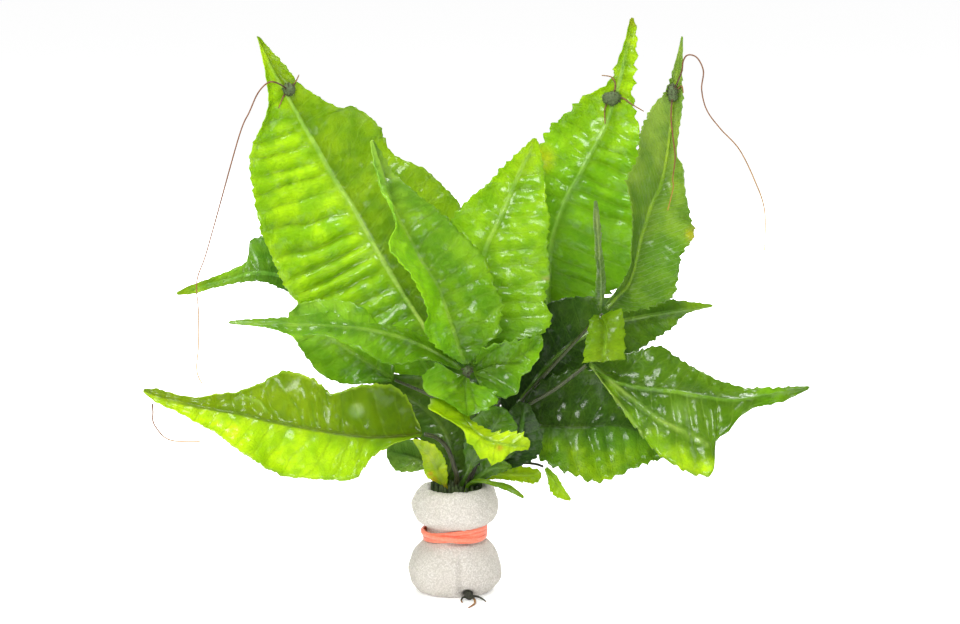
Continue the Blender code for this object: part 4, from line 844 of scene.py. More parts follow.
blade("leaf_left_pointed", "leaf_fresh",
      left=((1.2, 65.5, -10.4), (-9.0, 68.4, -17.0), (-16.0, 67.5, -22.0), (-21.0, 67.6, -25.0),
            (-27.0, 70.5, -27.0), (-33.5, 74.0, -28.5), (-39.5, 76.3, -29.0), (-48.0, 75.6, -29.0),
            (-57.0, 78.2, -28.5), (-67.0, 79.2, -27.0)),
      mid=((1.0, 66.1, -10.2), (-7.5, 71.5, -13.0), (-17.5, 75.5, -18.0), (-30.5, 78.0, -22.5),
           (-50.5, 79.0, -26.0), (-67.5, 79.5, -27.0)),
      right=((0.8, 66.7, -10.0), (-5.5, 73.6, -11.0), (-12.5, 77.0, -14.4), (-19.5, 78.6, -17.6),
             (-31.0, 80.0, -21.0), (-36.0, 82.8, -20.5), (-41.5, 82.0, -22.5), (-52.0, 81.2, -25.0),
             (-59.0, 80.8, -26.0), (-67.0, 79.9, -27.0)),
      arch=0.8, pigment_and_shade=((0.10, 0.27, 0.006), (0.16, 0.39, 0.005), (0.19, 0.44, 0.02), (0.24, 0.50, 0.03)),
      rib=((0.22, 0.42, 0.04), (0.26, 0.50, 0.05)), spacing=3.4, slant=(0.9, 0.9), ripple=(0.25, 0.25),
      teeth=(0.6, 3.4))

blade("leaf_left_crumpled", "leaf_fresh",
      left=((-18.9, 62.2, -6.6), (-31.0, 61.5, -8.0), (-39.5, 64.0, -9.0), (-44.0, 68.5, -9.0),
            (-46.6, 72.0, -9.0),
            (-49.0, 76.5, -8.0), (-50.0, 80.0, -6.4)),
      mid=((-18.8, 62.8, -6.5), (-28.0, 69.0, -5.0), (-38.0, 75.6, -3.5), (-49.5, 81.0, -5.6)),
      right=((-18.7, 63.4, -6.4), (-19.0, 72.0, -4.0), (-27.0, 83.0, -1.0), (-38.0, 86.6, 0.0),
             (-45.5, 85.4, -2.0), (-49.4, 82.4, -4.8)),
      arch=0.8, pigment_and_shade=((0.08, 0.22, 0.006), (0.16, 0.40, 0.005), (0.24, 0.50, 0.02), (0.30, 0.56, 0.06)),
      rib=((0.14, 0.30, 0.02), (0.26, 0.48, 0.04)), ripple=(0.5, 0.5),
            wave=1.6, rumple=1.4, teeth=(0.6, 3.6))

blade("leaf_low_left", "leaf_yellow",
      left=((-10.3, 46.1, -9.8), (-17.5, 44.2, -14.0), (-24.0, 40.5, -19.0), (-28.0, 36.0, -22.0),
            (-31.5, 33.0, -24.0), (-44.5, 34.0, -27.0), (-55.5, 36.0, -28.0), (-62.5, 40.5, -28.0),
            (-67.0, 44.5, -27.0), (-71.0, 48.0, -25.0), (-80.0, 52.0, -21.0), (-87.5, 55.5, -18.0),
            (-92.3, 59.0, -16.0)),
      mid=((-10.3, 46.8, -9.8), (-16.5, 46.2, -12.0), (-26.0, 46.0, -15.0), (-39.0, 47.5, -18.0),
           (-55.0, 50.5, -19.0), (-61.0, 52.0, -19.0), (-75.5, 55.0, -18.0), (-87.5, 57.5, -17.0),
           (-92.5, 59.5, -16.0)),
      right=((-10.3, 47.5, -9.8), (-13.4, 55.6, -9.4), (-18.5, 60.4, -9.6), (-25.5, 61.4, -11.4),
             (-31.5, 60.4, -13.0), (-36.5, 59.0, -14.0), (-42.5, 63.0, -11.5), (-49.5, 65.0, -10.0),
             (-53.5, 64.4, -10.0),
             (-60.0, 61.0, -12.0), (-67.0, 58.5, -14.0), (-77.0, 57.5, -15.0), (-87.5, 60.0, -15.5),
             (-92.3, 60.0, -16.0)),
      arch=1.2, pigment_and_shade=((0.14, 0.28, 0.005), (0.28, 0.50, 0.005), (0.42, 0.68, 0.005), (0.50, 0.74, 0.005),
             (0.46, 0.70, 0.005), (0.58, 0.78, 0.02)),
      # sides darkens the upper half as painted shade and edge is a painted highlight along the margin; below, the two
      # pale spots are painted sheen, the dark folds painted shade in the creases, and the last, pale fold a painted
      # highlight on a raised fold.
      rib=((0.05, 0.05, 0.008), (0.16, 0.24, 0.02)), sides=(1.15, 0.36), edge=(0.50, 0.74, 0.05),
      spacing=5.4, slant=(0.5, 0.6), ripple=(0.5, 0.6), teeth=(0.8, 3.8), wave=1.0,
      spots=((-29.5, 53.5, 3.0, (0.46, 0.58, 0.26)), (-36.5, 61.5, 2.4, (0.40, 0.56, 0.16))),
      folds=((0.5, -0.7, (0.07, 0.16, 0.005), ((-39.2, 62.0), (-38.4, 58.6), (-37.6, 55.6))),
             (0.5, -0.6, (0.07, 0.16, 0.005), ((-34.1, 58.7), (-33.4, 53.0), (-33.9, 47.6))),
             (0.5, -0.6, (0.08, 0.18, 0.005), ((-42.7, 56.6), (-42.2, 52.4), (-41.2, 48.9))),
             (0.5, -0.6, (0.08, 0.18, 0.005), ((-48.6, 57.4), (-46.4, 53.6), (-45.3, 49.6))),
             (0.4, 0.5, (0.36, 0.54, 0.10), ((-63.0, 57.6), (-58.0, 56.0), (-56.0, 53.2)))))

blade("leaf_small_round", "leaf_deep",
      left=((-4.5, 27.9, 1.2), (-5.4, 32.0, 1.0), (-8.6, 36.2, 1.2), (-13.0, 35.6, 1.2),
            (-18.0, 36.0, 1.4), (-20.6, 40.0, 2.0)),
      mid=((-4.4, 28.0, 1.5), (-5.2, 32.3, 1.5), (-8.5, 37.4, 2.0), (-13.0, 40.0, 2.5), (-20.8, 41.5, 2.6)),
      right=((-4.3, 28.1, 1.8), (-5.0, 32.6, 2.0), (-8.2, 39.6, 2.8), (-12.5, 44.8, 3.6),
             (-17.5, 45.0, 3.6), (-20.6, 43.0, 3.0)),
      arch=0.5, pigment_and_shade=((0.12, 0.24, 0.03), (0.22, 0.42, 0.05), (0.30, 0.52, 0.08)),
      rib=((0.08, 0.16, 0.02), (0.14, 0.28, 0.04)), spacing=3.0, teeth=(0.4, 2.2), wave=0.3)

blade("leaf_spotted", "leaf_yellow",
      left=((-3.0, 27.7, -2.2), (-4.6, 31.6, -3.6), (-8.8, 34.0, -7.0), (-9.8, 36.8, -9.0),
            (-10.4, 40.5, -10.6),
            (-12.8, 44.6, -12.0)),
      mid=((-2.6, 27.6, -2.5), (-3.6, 31.6, -4.0), (-5.9, 36.2, -7.4), (-8.2, 40.8, -10.2),
           (-13.0, 45.0, -12.0)),
      right=((-2.2, 27.5, -2.8), (-2.8, 31.4, -4.4), (-2.8, 36.6, -8.0), (-4.0, 40.0, -10.4),
             (-7.0, 43.6, -12.0),
             (-12.8, 45.4, -12.2)),
      arch=0.3, pigment_and_shade=((0.40, 0.54, 0.005), (0.54, 0.72, 0.014), (0.56, 0.74, 0.02)),
      rib=((0.34, 0.42, 0.03), (0.44, 0.60, 0.05)), spacing=3.0, teeth=(0.7, 2.4), wave=0.5,
      spots=((-6.8, 33.2, 1.6, (0.60, 0.28, 0.02)), (-7.8, 35.2, 1.2, (0.62, 0.34, 0.02)),
             (-3.7, 30.9, 1.8, (0.52, 0.28, 0.03))))

blade("leaflet_front_left", "leaf_fresh",
      left=((1.9, 63.2, -12.2), (-1.8, 65.6, -16.0), (-6.0, 68.2, -19.6), (-10.4, 63.0, -22.5),
            (-8.4, 58.6, -24.0), (-3.6, 55.8, -25.4), (2.5, 52.3, -27.0)),
      mid=((2.5, 63.0, -12.4), (2.4, 58.0, -18.0), (3.2, 52.0, -26.0)),
      right=((3.1, 62.8, -12.4), (6.8, 60.6, -16.5), (11.0, 58.4, -20.5), (12.0, 56.0, -23.0),
             (9.0, 53.4, -25.0), (4.0, 52.2, -26.4)),
      arch=0.8, pigment_and_shade=((0.07, 0.20, 0.006), (0.16, 0.38, 0.005), (0.20, 0.46, 0.005), (0.14, 0.36, 0.005)),
      rib=((0.07, 0.18, 0.006), (0.12, 0.28, 0.005)), spacing=3.6, slant=(0.7, 0.7), ripple=(0.5, 0.5),
            rise=-0.25,
      teeth=(1.5, 2.8), wave=0.9, rumple=1.0,
      folds=((0.3, -0.5, (0.05, 0.13, 0.005), ((2.4, 64.4), (-2.0, 61.4), (-7.0, 62.2))),
             (0.3, -0.5, (0.05, 0.13, 0.005), ((2.6, 64.2), (-1.0, 58.6), (-4.4, 55.6))),
             (0.3, -0.5, (0.05, 0.13, 0.005), ((3.0, 64.0), (4.4, 58.6), (5.6, 53.8)))))

blade("leaflet_front_right", "leaf_fresh",
      left=((4.8, 65.1, -11.6), (6.5, 71.0, -15.5), (12.0, 73.5, -16.0), (18.0, 74.5, -14.5),
            (25.0, 75.9, -12.0)),
      mid=((5.0, 64.5, -11.8), (12.5, 67.0, -13.5), (20.5, 71.0, -13.0), (25.2, 75.2, -12.0)),
      right=((5.2, 63.9, -12.0), (9.0, 59.6, -15.0), (14.0, 57.4, -17.0), (18.0, 59.0, -18.0),
             (18.8, 63.0, -17.5),
             (22.0, 66.0, -16.5), (24.8, 71.0, -14.5), (25.4, 74.6, -12.2)),
      arch=0.8, pigment_and_shade=((0.06, 0.17, 0.006), (0.13, 0.33, 0.005), (0.20, 0.46, 0.005)),
      rib=((0.06, 0.16, 0.006), (0.12, 0.28, 0.005)), spacing=3.6, slant=(0.7, 0.7), ripple=(0.5, 0.5),
            rise=-0.25,
      teeth=(1.5, 2.8), wave=0.9, rumple=1.0,
      folds=((0.3, -0.5, (0.05, 0.13, 0.005), ((4.6, 64.0), (10.0, 62.0), (14.6, 58.6))),
             (0.3, -0.5, (0.05, 0.13, 0.005), ((4.8, 65.0), (12.0, 67.4), (19.0, 67.6))),
             (0.3, -0.5, (0.05, 0.13, 0.005), ((4.6, 65.8), (9.6, 70.6), (14.0, 73.4)))))

blade("leaf_front_torn", "leaf_yellow",
      left=((0.4, 55.6, -18.8), (-5.5, 57.2, -20.6), (-9.4, 54.8, -23.0), (-4.5, 51.6, -25.0),
            (1.0, 48.4, -26.5),
            (3.5, 44.6, -27.5), (6.0, 41.0, -28.0), (10.0, 38.4, -28.0), (13.0, 38.6, -28.0),
            (16.0, 41.4, -27.5), (21.0, 42.0, -26.0)),
      mid=((1.0, 55.7, -18.7), (2.6, 51.0, -22.0), (7.5, 45.6, -24.5), (14.0, 43.6, -26.0),
           (21.4, 42.8, -26.0)),
      right=((1.6, 55.6, -18.6), (4.4, 50.8, -21.2), (10.5, 48.0, -23.2), (19.5, 46.8, -25.0),
             (21.6, 43.6, -26.0)),
      arch=0.3, pigment_and_shade=((0.20, 0.42, 0.006), (0.52, 0.78, 0.005), (0.62, 0.88, 0.01), (0.54, 0.80, 0.01)),
      rib=((0.30, 0.50, 0.03), (0.40, 0.60, 0.05)), spacing=3.4, ripple=(0.4, 0.4), teeth=(1.9, 2.6),
            wave=0.9,
      # The pale spot at its left end is a painted highlight on the bend; the orange one is a stain.
      spots=((-9.0, 56.6, 2.6, (0.50, 0.62, 0.30)), (12.6, 42.6, 1.2, (0.62, 0.26, 0.03))))

blade("leaf_low_right", "leaf_deep",
      left=((19.9, 53.2, -0.2), (20.5, 58.0, 3.5), (26.0, 63.0, 5.5), (36.0, 66.0, 7.0), (47.0, 64.0, 8.0),
            (57.0, 55.0, 8.0), (62.6, 42.0, 6.0)),
      mid=((19.9, 52.5, -0.1), (24.0, 49.6, 1.0), (31.0, 49.0, 3.0), (38.0, 49.0, 5.0), (47.0, 49.5, 6.0),
           (56.0, 46.5, 6.0), (62.6, 41.0, 5.5)),
      right=((19.4, 51.8, 0.0), (21.5, 44.0, -1.5), (25.5, 38.6, -0.6), (32.0, 35.4, -2.0),
             (41.0, 32.5, -3.0),
             (47.0, 34.4, -2.0), (54.5, 37.5, 0.0), (62.0, 40.0, 4.0)),
      # Its near-black tones are painted shade under the blades above it; sides and the bright green spots light its
      # lower half as painted light.
      arch=1.0, pigment_and_shade=((0.02, 0.05, 0.005), (0.04, 0.10, 0.005), (0.06, 0.15, 0.005), (0.08, 0.20, 0.005)),
      rib=((0.03, 0.06, 0.006), (0.06, 0.14, 0.006)), sides=(0.9, 1.9), ripple=(0.6, 0.9),
            teeth=(1.8, 3.2), wave=0.9, rumple=0.9,
      spots=((27.0, 40.0, 8.0, (0.20, 0.42, 0.005)), (37.0, 38.0, 8.0, (0.30, 0.54, 0.005)),
             (44.0, 36.0, 8.0, (0.32, 0.58, 0.005)), (54.0, 39.0, 8.0, (0.28, 0.52, 0.005))))

blade("leaf_long_right", "leaf_fresh",
      left=((39.1, 67.9, -1.3), (49.0, 70.0, 1.0), (59.0, 72.5, 1.0), (63.5, 70.5, 0.0), (68.0, 67.5, -1.0),
            (76.5, 62.6, -3.0), (89.0, 60.5, -5.0), (97.5, 60.6, -6.0), (103.6, 60.8, -7.0)),
      mid=((39.0, 67.2, -1.5), (43.0, 63.6, -4.0), (52.5, 60.5, -7.0), (62.5, 59.5, -9.0),
           (71.5, 58.0, -10.0),
           (80.5, 56.8, -10.0), (92.0, 58.2, -9.0), (104.0, 60.5, -7.0)),
      right=((38.9, 66.5, -1.8), (44.0, 59.5, -7.0), (49.0, 53.0, -11.0), (55.5, 45.0, -15.0),
             (60.5, 39.6, -17.5),
             (67.5, 35.2, -19.5), (74.4, 34.4, -20.0), (75.9, 39.0, -19.0), (75.7, 44.5, -17.5),
             (80.0, 48.0, -16.0), (85.0, 53.0, -13.0), (94.5, 56.0, -10.0), (103.6, 60.0, -7.2)),
      arch=1.0, pigment_and_shade=((0.06, 0.17, 0.006), (0.10, 0.26, 0.005), (0.13, 0.30, 0.005),
            (0.16, 0.38, 0.005), (0.20, 0.46, 0.01)),
      # sides darkens the blade as painted shade; the green spots lighten its lower lobe and tail as painted light, the
      # greyish spot is a painted sheen, and the pale folds are painted highlights.
      rib=((0.16, 0.32, 0.03), (0.16, 0.34, 0.03)), sides=(0.5, 0.5), spacing=5.0, slant=(0.6, 0.2),
      ripple=(0.4, 0.6), teeth=(1.2, 2.8), wave=0.8, rumple=0.8,
      spots=((45.0, 59.0, 4.0, (0.22, 0.44, 0.005)), (51.0, 51.0, 5.0, (0.28, 0.52, 0.005)),
             (58.0, 43.5, 6.5, (0.38, 0.64, 0.005)), (65.0, 38.5, 7.0, (0.48, 0.76, 0.005)),
             (73.0, 36.0, 6.0, (0.54, 0.82, 0.005)), (92.0, 58.6, 6.0, (0.16, 0.38, 0.005)),
             (66.0, 53.0, 5.0, (0.14, 0.27, 0.04))),
      folds=((0.45, 0.9, (0.44, 0.62, 0.12), ((39.5, 66.0), (44.0, 59.8), (49.5, 53.4), (54.5, 46.6))),
             (0.6, 0.8, (0.34, 0.52, 0.10), ((40.0, 66.4), (50.0, 58.0), (60.0, 50.4), (73.6, 43.6)))))

# Painted shade: a near-black blade deep inside the bunch, lighter only towards its tip.
blade("leaf_middle_right", "leaf_deep",
      left=((13.6, 50.4, 7.7), (12.6, 60.0, 9.5), (14.0, 72.0, 11.0), (20.0, 81.0, 12.4),
            (31.0, 86.5, 13.5),
            (45.0, 87.0, 15.0), (62.0, 86.4, 17.5), (75.2, 84.8, 19.0)),
      mid=((14.2, 50.0, 7.8), (22.0, 61.0, 10.4), (30.0, 70.0, 12.0), (42.0, 78.0, 13.4),
            (56.0, 81.5, 15.5),
           (75.5, 84.5, 19.0)),
      right=((14.8, 49.6, 8.0), (24.0, 54.0, 10.2), (34.0, 60.0, 11.4), (44.0, 66.0, 13.0),
             (53.0, 71.0, 15.0),
             (59.0, 75.0, 16.5), (63.5, 78.0, 17.0), (67.5, 82.0, 18.0), (75.2, 84.2, 19.0)),
      arch=0.4, pigment_and_shade=((0.008, 0.022, 0.004), (0.015, 0.045, 0.004), (0.035, 0.09, 0.005),
            (0.10, 0.24, 0.005), (0.24, 0.48, 0.005)),
      rib=((0.05, 0.10, 0.006), (0.24, 0.46, 0.05)), ripple=(0.4, 0.4), teeth=(0.8, 3.0))

blade("leaf_upright_narrow", "leaf_pale",
      left=((41.6, 82.9, -0.9), (40.9, 86.5, -5.6), (41.0, 92.5, -8.0), (40.0, 98.0, -8.6),
            (40.4, 106.5, -7.6),
            (40.4, 115.3, -5.4)),
      mid=((42.0, 83.0, -0.5), (42.1, 88.0, -3.4), (42.0, 95.0, -5.0), (41.3, 105.0, -5.2),
           (40.7, 115.5, -5.0)),
      right=((42.4, 83.1, -0.2), (43.4, 90.0, -1.6), (42.6, 98.5, -2.2), (42.6, 107.0, -3.2),
             (41.0, 115.4, -4.6)),
      arch=0.0, pigment_and_shade=((0.12, 0.26, 0.02), (0.16, 0.32, 0.04), (0.30, 0.44, 0.14)),
      rib=((0.20, 0.36, 0.06), (0.36, 0.50, 0.18)), spacing=2.4, teeth=(0.9, 2.4), wave=0.9)

blade("leaf_square_bright", "leaf_yellow",
      left=((41.7, 81.6, -0.9), (39.2, 80.6, -6.0), (38.4, 77.0, -9.0), (37.4, 71.0, -11.5),
            (36.8, 67.6, -12.0)),
      mid=((42.4, 81.3, -0.9), (44.0, 77.0, -7.0), (42.8, 67.8, -12.6)),
      right=((43.1, 81.6, -0.9), (48.2, 84.0, -5.0), (49.0, 81.0, -7.0), (49.5, 77.0, -8.5),
             (49.4, 68.6, -12.0)),
      arch=0.6, pigment_and_shade=((0.10, 0.22, 0.004), (0.14, 0.28, 0.004), (0.20, 0.36, 0.004)),
      rib=((0.22, 0.40, 0.03), (0.26, 0.46, 0.04)), spacing=3.2, teeth=(1.1, 3.0), rumple=0.9)

blade("leaf_hanging_narrow", "leaf_yellow",
      left=((25.7, 36.4, -2.5), (26.6, 33.8, -3.8), (27.4, 30.0, -4.8), (29.5, 28.0, -5.2),
            (33.2, 27.0, -5.4)),
      mid=((26.1, 36.8, -2.5), (28.2, 34.0, -3.7), (30.4, 30.6, -4.6), (33.5, 27.3, -5.4)),
      right=((26.5, 37.1, -2.6), (29.4, 34.4, -4.1), (31.4, 31.0, -5.0), (33.6, 27.8, -5.4)),
      arch=0.3, pigment_and_shade=((0.26, 0.50, 0.005), (0.34, 0.60, 0.005), (0.42, 0.66, 0.02)),
      rib=((0.34, 0.54, 0.04), (0.40, 0.60, 0.05)), spacing=2.4, teeth=(0.6, 2.2), wave=0.4)

blade("leaf_rim_sprig", "leaf_fresh",
      left=((1.9, 27.5, -3.9), (2.8, 31.8, -4.8), (6.2, 33.6, -7.2), (11.0, 32.8, -9.4),
            (15.5, 31.8, -11.0), (19.6, 28.6, -12.6)),
      mid=((2.2, 27.5, -3.8), (3.2, 31.7, -4.8), (6.5, 33.0, -7.5), (11.0, 32.0, -9.8),
           (15.5, 30.8, -11.6), (19.8, 28.1, -12.8)),
      right=((2.5, 27.5, -3.7), (3.6, 31.6, -4.8), (6.8, 32.4, -7.8), (11.0, 31.3, -10.3),
             (15.2, 29.8, -12.2), (19.6, 27.6, -13.0)),
      arch=0.0, pigment_and_shade=((0.08, 0.18, 0.006), (0.12, 0.26, 0.005), (0.26, 0.46, 0.005), (0.36, 0.54, 0.005)),
      rib=((0.16, 0.28, 0.02), (0.38, 0.52, 0.03)), spacing=2.4, teeth=(0.5, 2.6), wave=0.3, rumple=0.3)

blade("leaf_low_yellow", "leaf_yellow",
      left=((4.0, 28.3, 0.6), (5.4, 32.8, 1.3), (9.5, 35.8, 2.0), (13.0, 37.0, 1.2), (17.0, 37.4, -0.4),
            (23.0, 36.7, -2.6), (24.8, 35.4, -3.2)),
      mid=((4.1, 28.2, 0.3), (5.9, 32.5, 0.9), (10.2, 34.8, 1.2), (18.0, 34.8, -2.0), (25.0, 34.6, -3.6)),
      right=((4.2, 28.1, 0.0), (6.4, 32.2, 0.5), (11.4, 33.4, 0.2), (18.5, 32.6, -2.8), (23.0, 32.2, -4.4),
             (24.8, 33.8, -3.8)),
      arch=0.2, pigment_and_shade=((0.20, 0.38, 0.006), (0.42, 0.66, 0.005), (0.52, 0.74, 0.01)),
      rib=((0.30, 0.46, 0.03), (0.38, 0.56, 0.04)), spacing=2.8, teeth=(0.8, 2.4), wave=0.4)

# Painted shade: a dark blade behind the front leaflets.
blade("leaf_low_pointed", "leaf_deep",
      left=((2.8, 28.0, -2.2), (4.2, 32.0, -3.4), (6.0, 36.8, -5.4), (8.0, 39.4, -7.4),
            (12.0, 39.6, -8.0), (16.0, 37.6, -9.0)),
      mid=((3.0, 27.9, -2.4), (4.5, 31.8, -3.6), (7.0, 34.8, -5.6), (10.5, 36.8, -7.4), (16.2, 37.2, -9.0)),
      right=((3.2, 27.8, -2.6), (4.8, 31.6, -3.8), (8.6, 33.6, -5.8), (12.5, 35.2, -7.8),
             (16.2, 36.8, -9.2)),
      arch=0.2, pigment_and_shade=((0.04, 0.10, 0.006), (0.09, 0.22, 0.005), (0.18, 0.40, 0.005)),
      rib=((0.08, 0.18, 0.02), (0.20, 0.40, 0.03)), spacing=2.6, teeth=(0.6, 2.4), wave=0.3, rumple=0.3)

# Painted shade: a very dark blade in the bunch's shade.
blade("leaf_shaded_left", "leaf_deep",
      left=((0.5, 27.6, -3.15), (1.0, 32.2, -4.9), (2.6, 36.8, -9.2), (2.0, 43.0, -12.4),
            (3.4, 50.0, -15.0), (9.0, 54.6, -16.0),
            (13.4, 54.8, -16.0)),
      mid=((0.8, 27.6, -3.15), (1.5, 32.0, -5.1), (4.0, 37.0, -10.2), (8.4, 45.0, -13.5),
           (14.0, 54.4, -16.0)),
      right=((1.1, 27.6, -3.15), (2.0, 31.8, -5.3), (5.8, 37.6, -10.6), (12.0, 41.0, -12.6),
             (17.8, 48.0, -14.5), (14.6, 54.0, -16.0)),
      arch=0.3, pigment_and_shade=((0.03, 0.08, 0.006), (0.06, 0.16, 0.005), (0.10, 0.26, 0.005)),
      rib=((0.05, 0.10, 0.006), (0.10, 0.24, 0.02)), spacing=3.0, teeth=(0.8, 2.8), wave=0.4, rumple=0.4)

# Painted shade: a near-black blade in the bunch's shade.
blade("leaf_shaded_right", "leaf_deep",
      left=((3.5, 28.3, -0.9), (5.0, 32.4, -2.3), (8.4, 37.6, -4.2), (11.5, 44.0, -6.4), (14.0, 52.0, -8.0),
            (18.4, 56.4, -8.2)),
      mid=((3.7, 28.1, -1.2), (5.4, 32.0, -2.7), (9.8, 36.6, -4.6), (17.5, 43.0, -6.6), (20.0, 56.0, -8.2)),
      right=((3.9, 27.9, -1.5), (5.8, 31.6, -3.1), (11.4, 34.9, -5.0), (18.5, 37.4, -6.6),
             (24.2, 40.6, -7.6),
             (25.0, 47.0, -8.0), (21.4, 55.6, -8.4)),
      arch=0.3, pigment_and_shade=((0.008, 0.028, 0.004), (0.016, 0.05, 0.005), (0.03, 0.085, 0.006)),
      rib=((0.05, 0.10, 0.006), (0.08, 0.20, 0.02)), spacing=3.0, teeth=(0.8, 2.8), wave=0.4, rumple=0.4)

blade("leaf_grey_blade", "leaf_deep",
      left=((-4.2, 28.0, -1.0), (-4.4, 32.0, -1.0), (-6.8, 40.0, 0.0), (-14.0, 49.0, 1.5),
            (-22.0, 56.0, 3.0),
            (-25.0, 62.6, 5.0)),
      mid=((-3.7, 28.1, -1.0), (-3.4, 32.0, -1.0), (-1.4, 42.0, 0.6), (-8.0, 53.0, 2.6),
            (-24.5, 63.4, 5.5)),
      right=((-3.2, 28.1, -1.0), (-1.2, 31.8, -0.8), (3.6, 36.4, 0.4), (6.4, 43.0, 0.6), (5.6, 52.0, 0.6),
             (-2.0, 62.0, 2.6), (-21.8, 64.6, 5.8)),
      arch=0.5, pigment_and_shade=((0.05, 0.11, 0.005), (0.09, 0.19, 0.015), (0.12, 0.24, 0.02)),
      rib=((0.08, 0.14, 0.02), (0.14, 0.26, 0.03)), spacing=3.2, teeth=(0.7, 2.8), wave=0.4, rumple=0.4)

blade("leaf_behind_middle", "leaf_deep",
      left=((9.9, 52.6, 12.6), (-3.0, 62.0, 22.0), (-9.0, 78.0, 31.0), (-7.0, 94.0, 38.0),
            (2.0, 108.0, 42.0)),
      mid=((10.5, 53.3, 12.8), (6.0, 66.0, 24.0), (3.5, 82.0, 33.0), (2.4, 108.4, 43.0)),
      right=((11.1, 54.0, 13.0), (19.0, 64.0, 24.0), (18.0, 80.0, 32.0), (13.0, 95.0, 39.0),
             (3.0, 108.0, 42.6)),
      arch=1.0, pigment_and_shade=((0.04, 0.11, 0.006), (0.09, 0.24, 0.005), (0.14, 0.36, 0.005)),
      rib=((0.10, 0.22, 0.03), (0.20, 0.42, 0.05)))

blade("leaf_behind_left", "leaf_fresh",
      left=((-6.0, 60.4, 11.0), (-20.0, 66.0, 20.0), (-35.0, 80.0, 30.0), (-48.0, 98.0, 39.0),
            (-50.0, 120.0, 46.0)),
      mid=((-5.3, 61.0, 11.2), (-14.0, 74.0, 24.0), (-27.0, 93.0, 36.0), (-49.6, 120.6, 46.4)),
      right=((-4.7, 61.6, 11.2), (-4.0, 78.0, 26.0), (-11.0, 98.0, 38.0), (-26.0, 114.0, 45.0),
             (-49.0, 121.0, 46.8)),
      arch=1.0, pigment_and_shade=((0.08, 0.22, 0.006), (0.18, 0.42, 0.005), (0.26, 0.54, 0.005)),
      rib=((0.16, 0.34, 0.03), (0.30, 0.54, 0.06)))


# The buds: small plantlets that sprout on the blades near their tips, dark and scaly, with stiff hairs and a
# few short wiry roots that spread from them.
BUD_HAIRS = 90
BUD_HAIR = (0.10, 0.9)
BUD_GAP = 0.1
ROOT_GAP = 0.45
FRONT_BUD_BACK = -11.2

bud_finish = Finish("bud_scales", Roughness=0.7)
tint = bud_finish.node("ShaderNodeAttribute", {"attribute_name": "bud_tint"}, output=0)
worn = bud_finish.grain(2.0, 4.0)
bud_finish.feed(bud_finish.shader.inputs["Base Color"],
                bud_finish.mix(worn.step(0.35, 0.65) * 0.6, tint, bud_finish.mix(1.0, tint, (0.4, 0.4, 0.4), "MULTIPLY")))
bud_finish.feed(bud_finish.shader.inputs["Roughness"], 0.5 + worn * 0.3)
bud_finish.feed(bud_finish.shader.inputs["Normal"], bud_finish.bump(bud_finish.grain(3.0, 3.0), 0.2, 0.8))
BUD_GREEN = (0.10, 0.15, 0.05, 1.0)
BUD_HAIR_BROWN = (0.09, 0.07, 0.04, 1.0)
BUD_ROOT = (0.16, 0.08, 0.025, 1.0)
BUD_ROOT_TIP = (0.42, 0.22, 0.06, 1.0)


def on_blade(node, right, up, clearance):
    """The place that the eye sees on a finished blade, brought nearer by the clearance."""
    near = seen(right, up, -150.0)
    sight = (seen(right, up, 150.0) - near).normalized()
    tree = BVHTree.FromObject(blades[node], bpy.context.evaluated_depsgraph_get())
    hit = tree.ray_cast(near * MM, sight)[0]
    return hit / MM - sight * clearance if hit else None


def bud(node, carrier, centre, size, roots):
    """A lumpy bud with its hairs and the short roots that grow from it."""
    spot = on_blade(carrier, *centre, size[1] * 0.7 + BUD_GAP) if carrier else seen(*centre, FRONT_BUD_BACK)
    bm = bmesh.new()
    layer = bm.verts.layers.float_color.new("bud_tint")
    bmesh.ops.create_icosphere(bm, subdivisions=4, radius=1.0)
    luck = random.Random(sum(ord(letter) for letter in node))
    for vert in bm.verts:
        rough = 1.0 + 0.22 * noise.noise(vert.co * 1.7 + Vector((centre[0], 0.0, 0.0)))
        rough += 0.12 * noise.noise(vert.co * 5.0)
        vert.co = Vector((vert.co.x * size[0], vert.co.y * size[1], vert.co.z * size[2])) * rough + spot
        vert[layer] = BUD_GREEN
    for _ in range(BUD_HAIRS):
        out = Vector([luck.gauss(0.0, 1.0) for _ in range(3)]).normalized()
        foot = spot + Vector((out.x * size[0], out.y * size[1], out.z * size[2])) * 0.95
        lean = (out + 0.6 * Vector([luck.uniform(-1.0, 1.0) for _ in range(3)])).normalized()
        tall = BUD_HAIR[1] * luck.uniform(0.5, 1.3)
        turn = lean.to_track_quat("Z", "Y").to_matrix().to_4x4()
        turn.translation = foot + lean * tall * 0.5
        made = bmesh.ops.create_cone(bm, cap_ends=True, segments=4, radius1=BUD_HAIR[0], radius2=0.01,
                                     depth=tall, matrix=turn)
        for vert in made["verts"]:
            vert[layer] = BUD_HAIR_BROWN
    for route in roots:
        path = [spot]
        for point in route:
            path.append(on_blade(carrier, *point, ROOT_GAP) or seen(*point, path[-1].y))
        path = smooth_path(path, 8)
        before = len(bm.verts)
        tube(bm, path, taper(0.34, 0.15, len(path)), 7)
        bm.verts.ensure_lookup_table()
        fresh_verts = bm.verts[before:]
        for place, vert in enumerate(fresh_verts):
            share = place / len(fresh_verts)
            vert[layer] = Vector(BUD_ROOT).lerp(Vector(BUD_ROOT_TIP), share ** 2)
    bmesh.ops.recalc_face_normals(bm, faces=bm.faces)
    piece(node + "_plantlet", bm, bud_finish, "bud", node)
    return spot


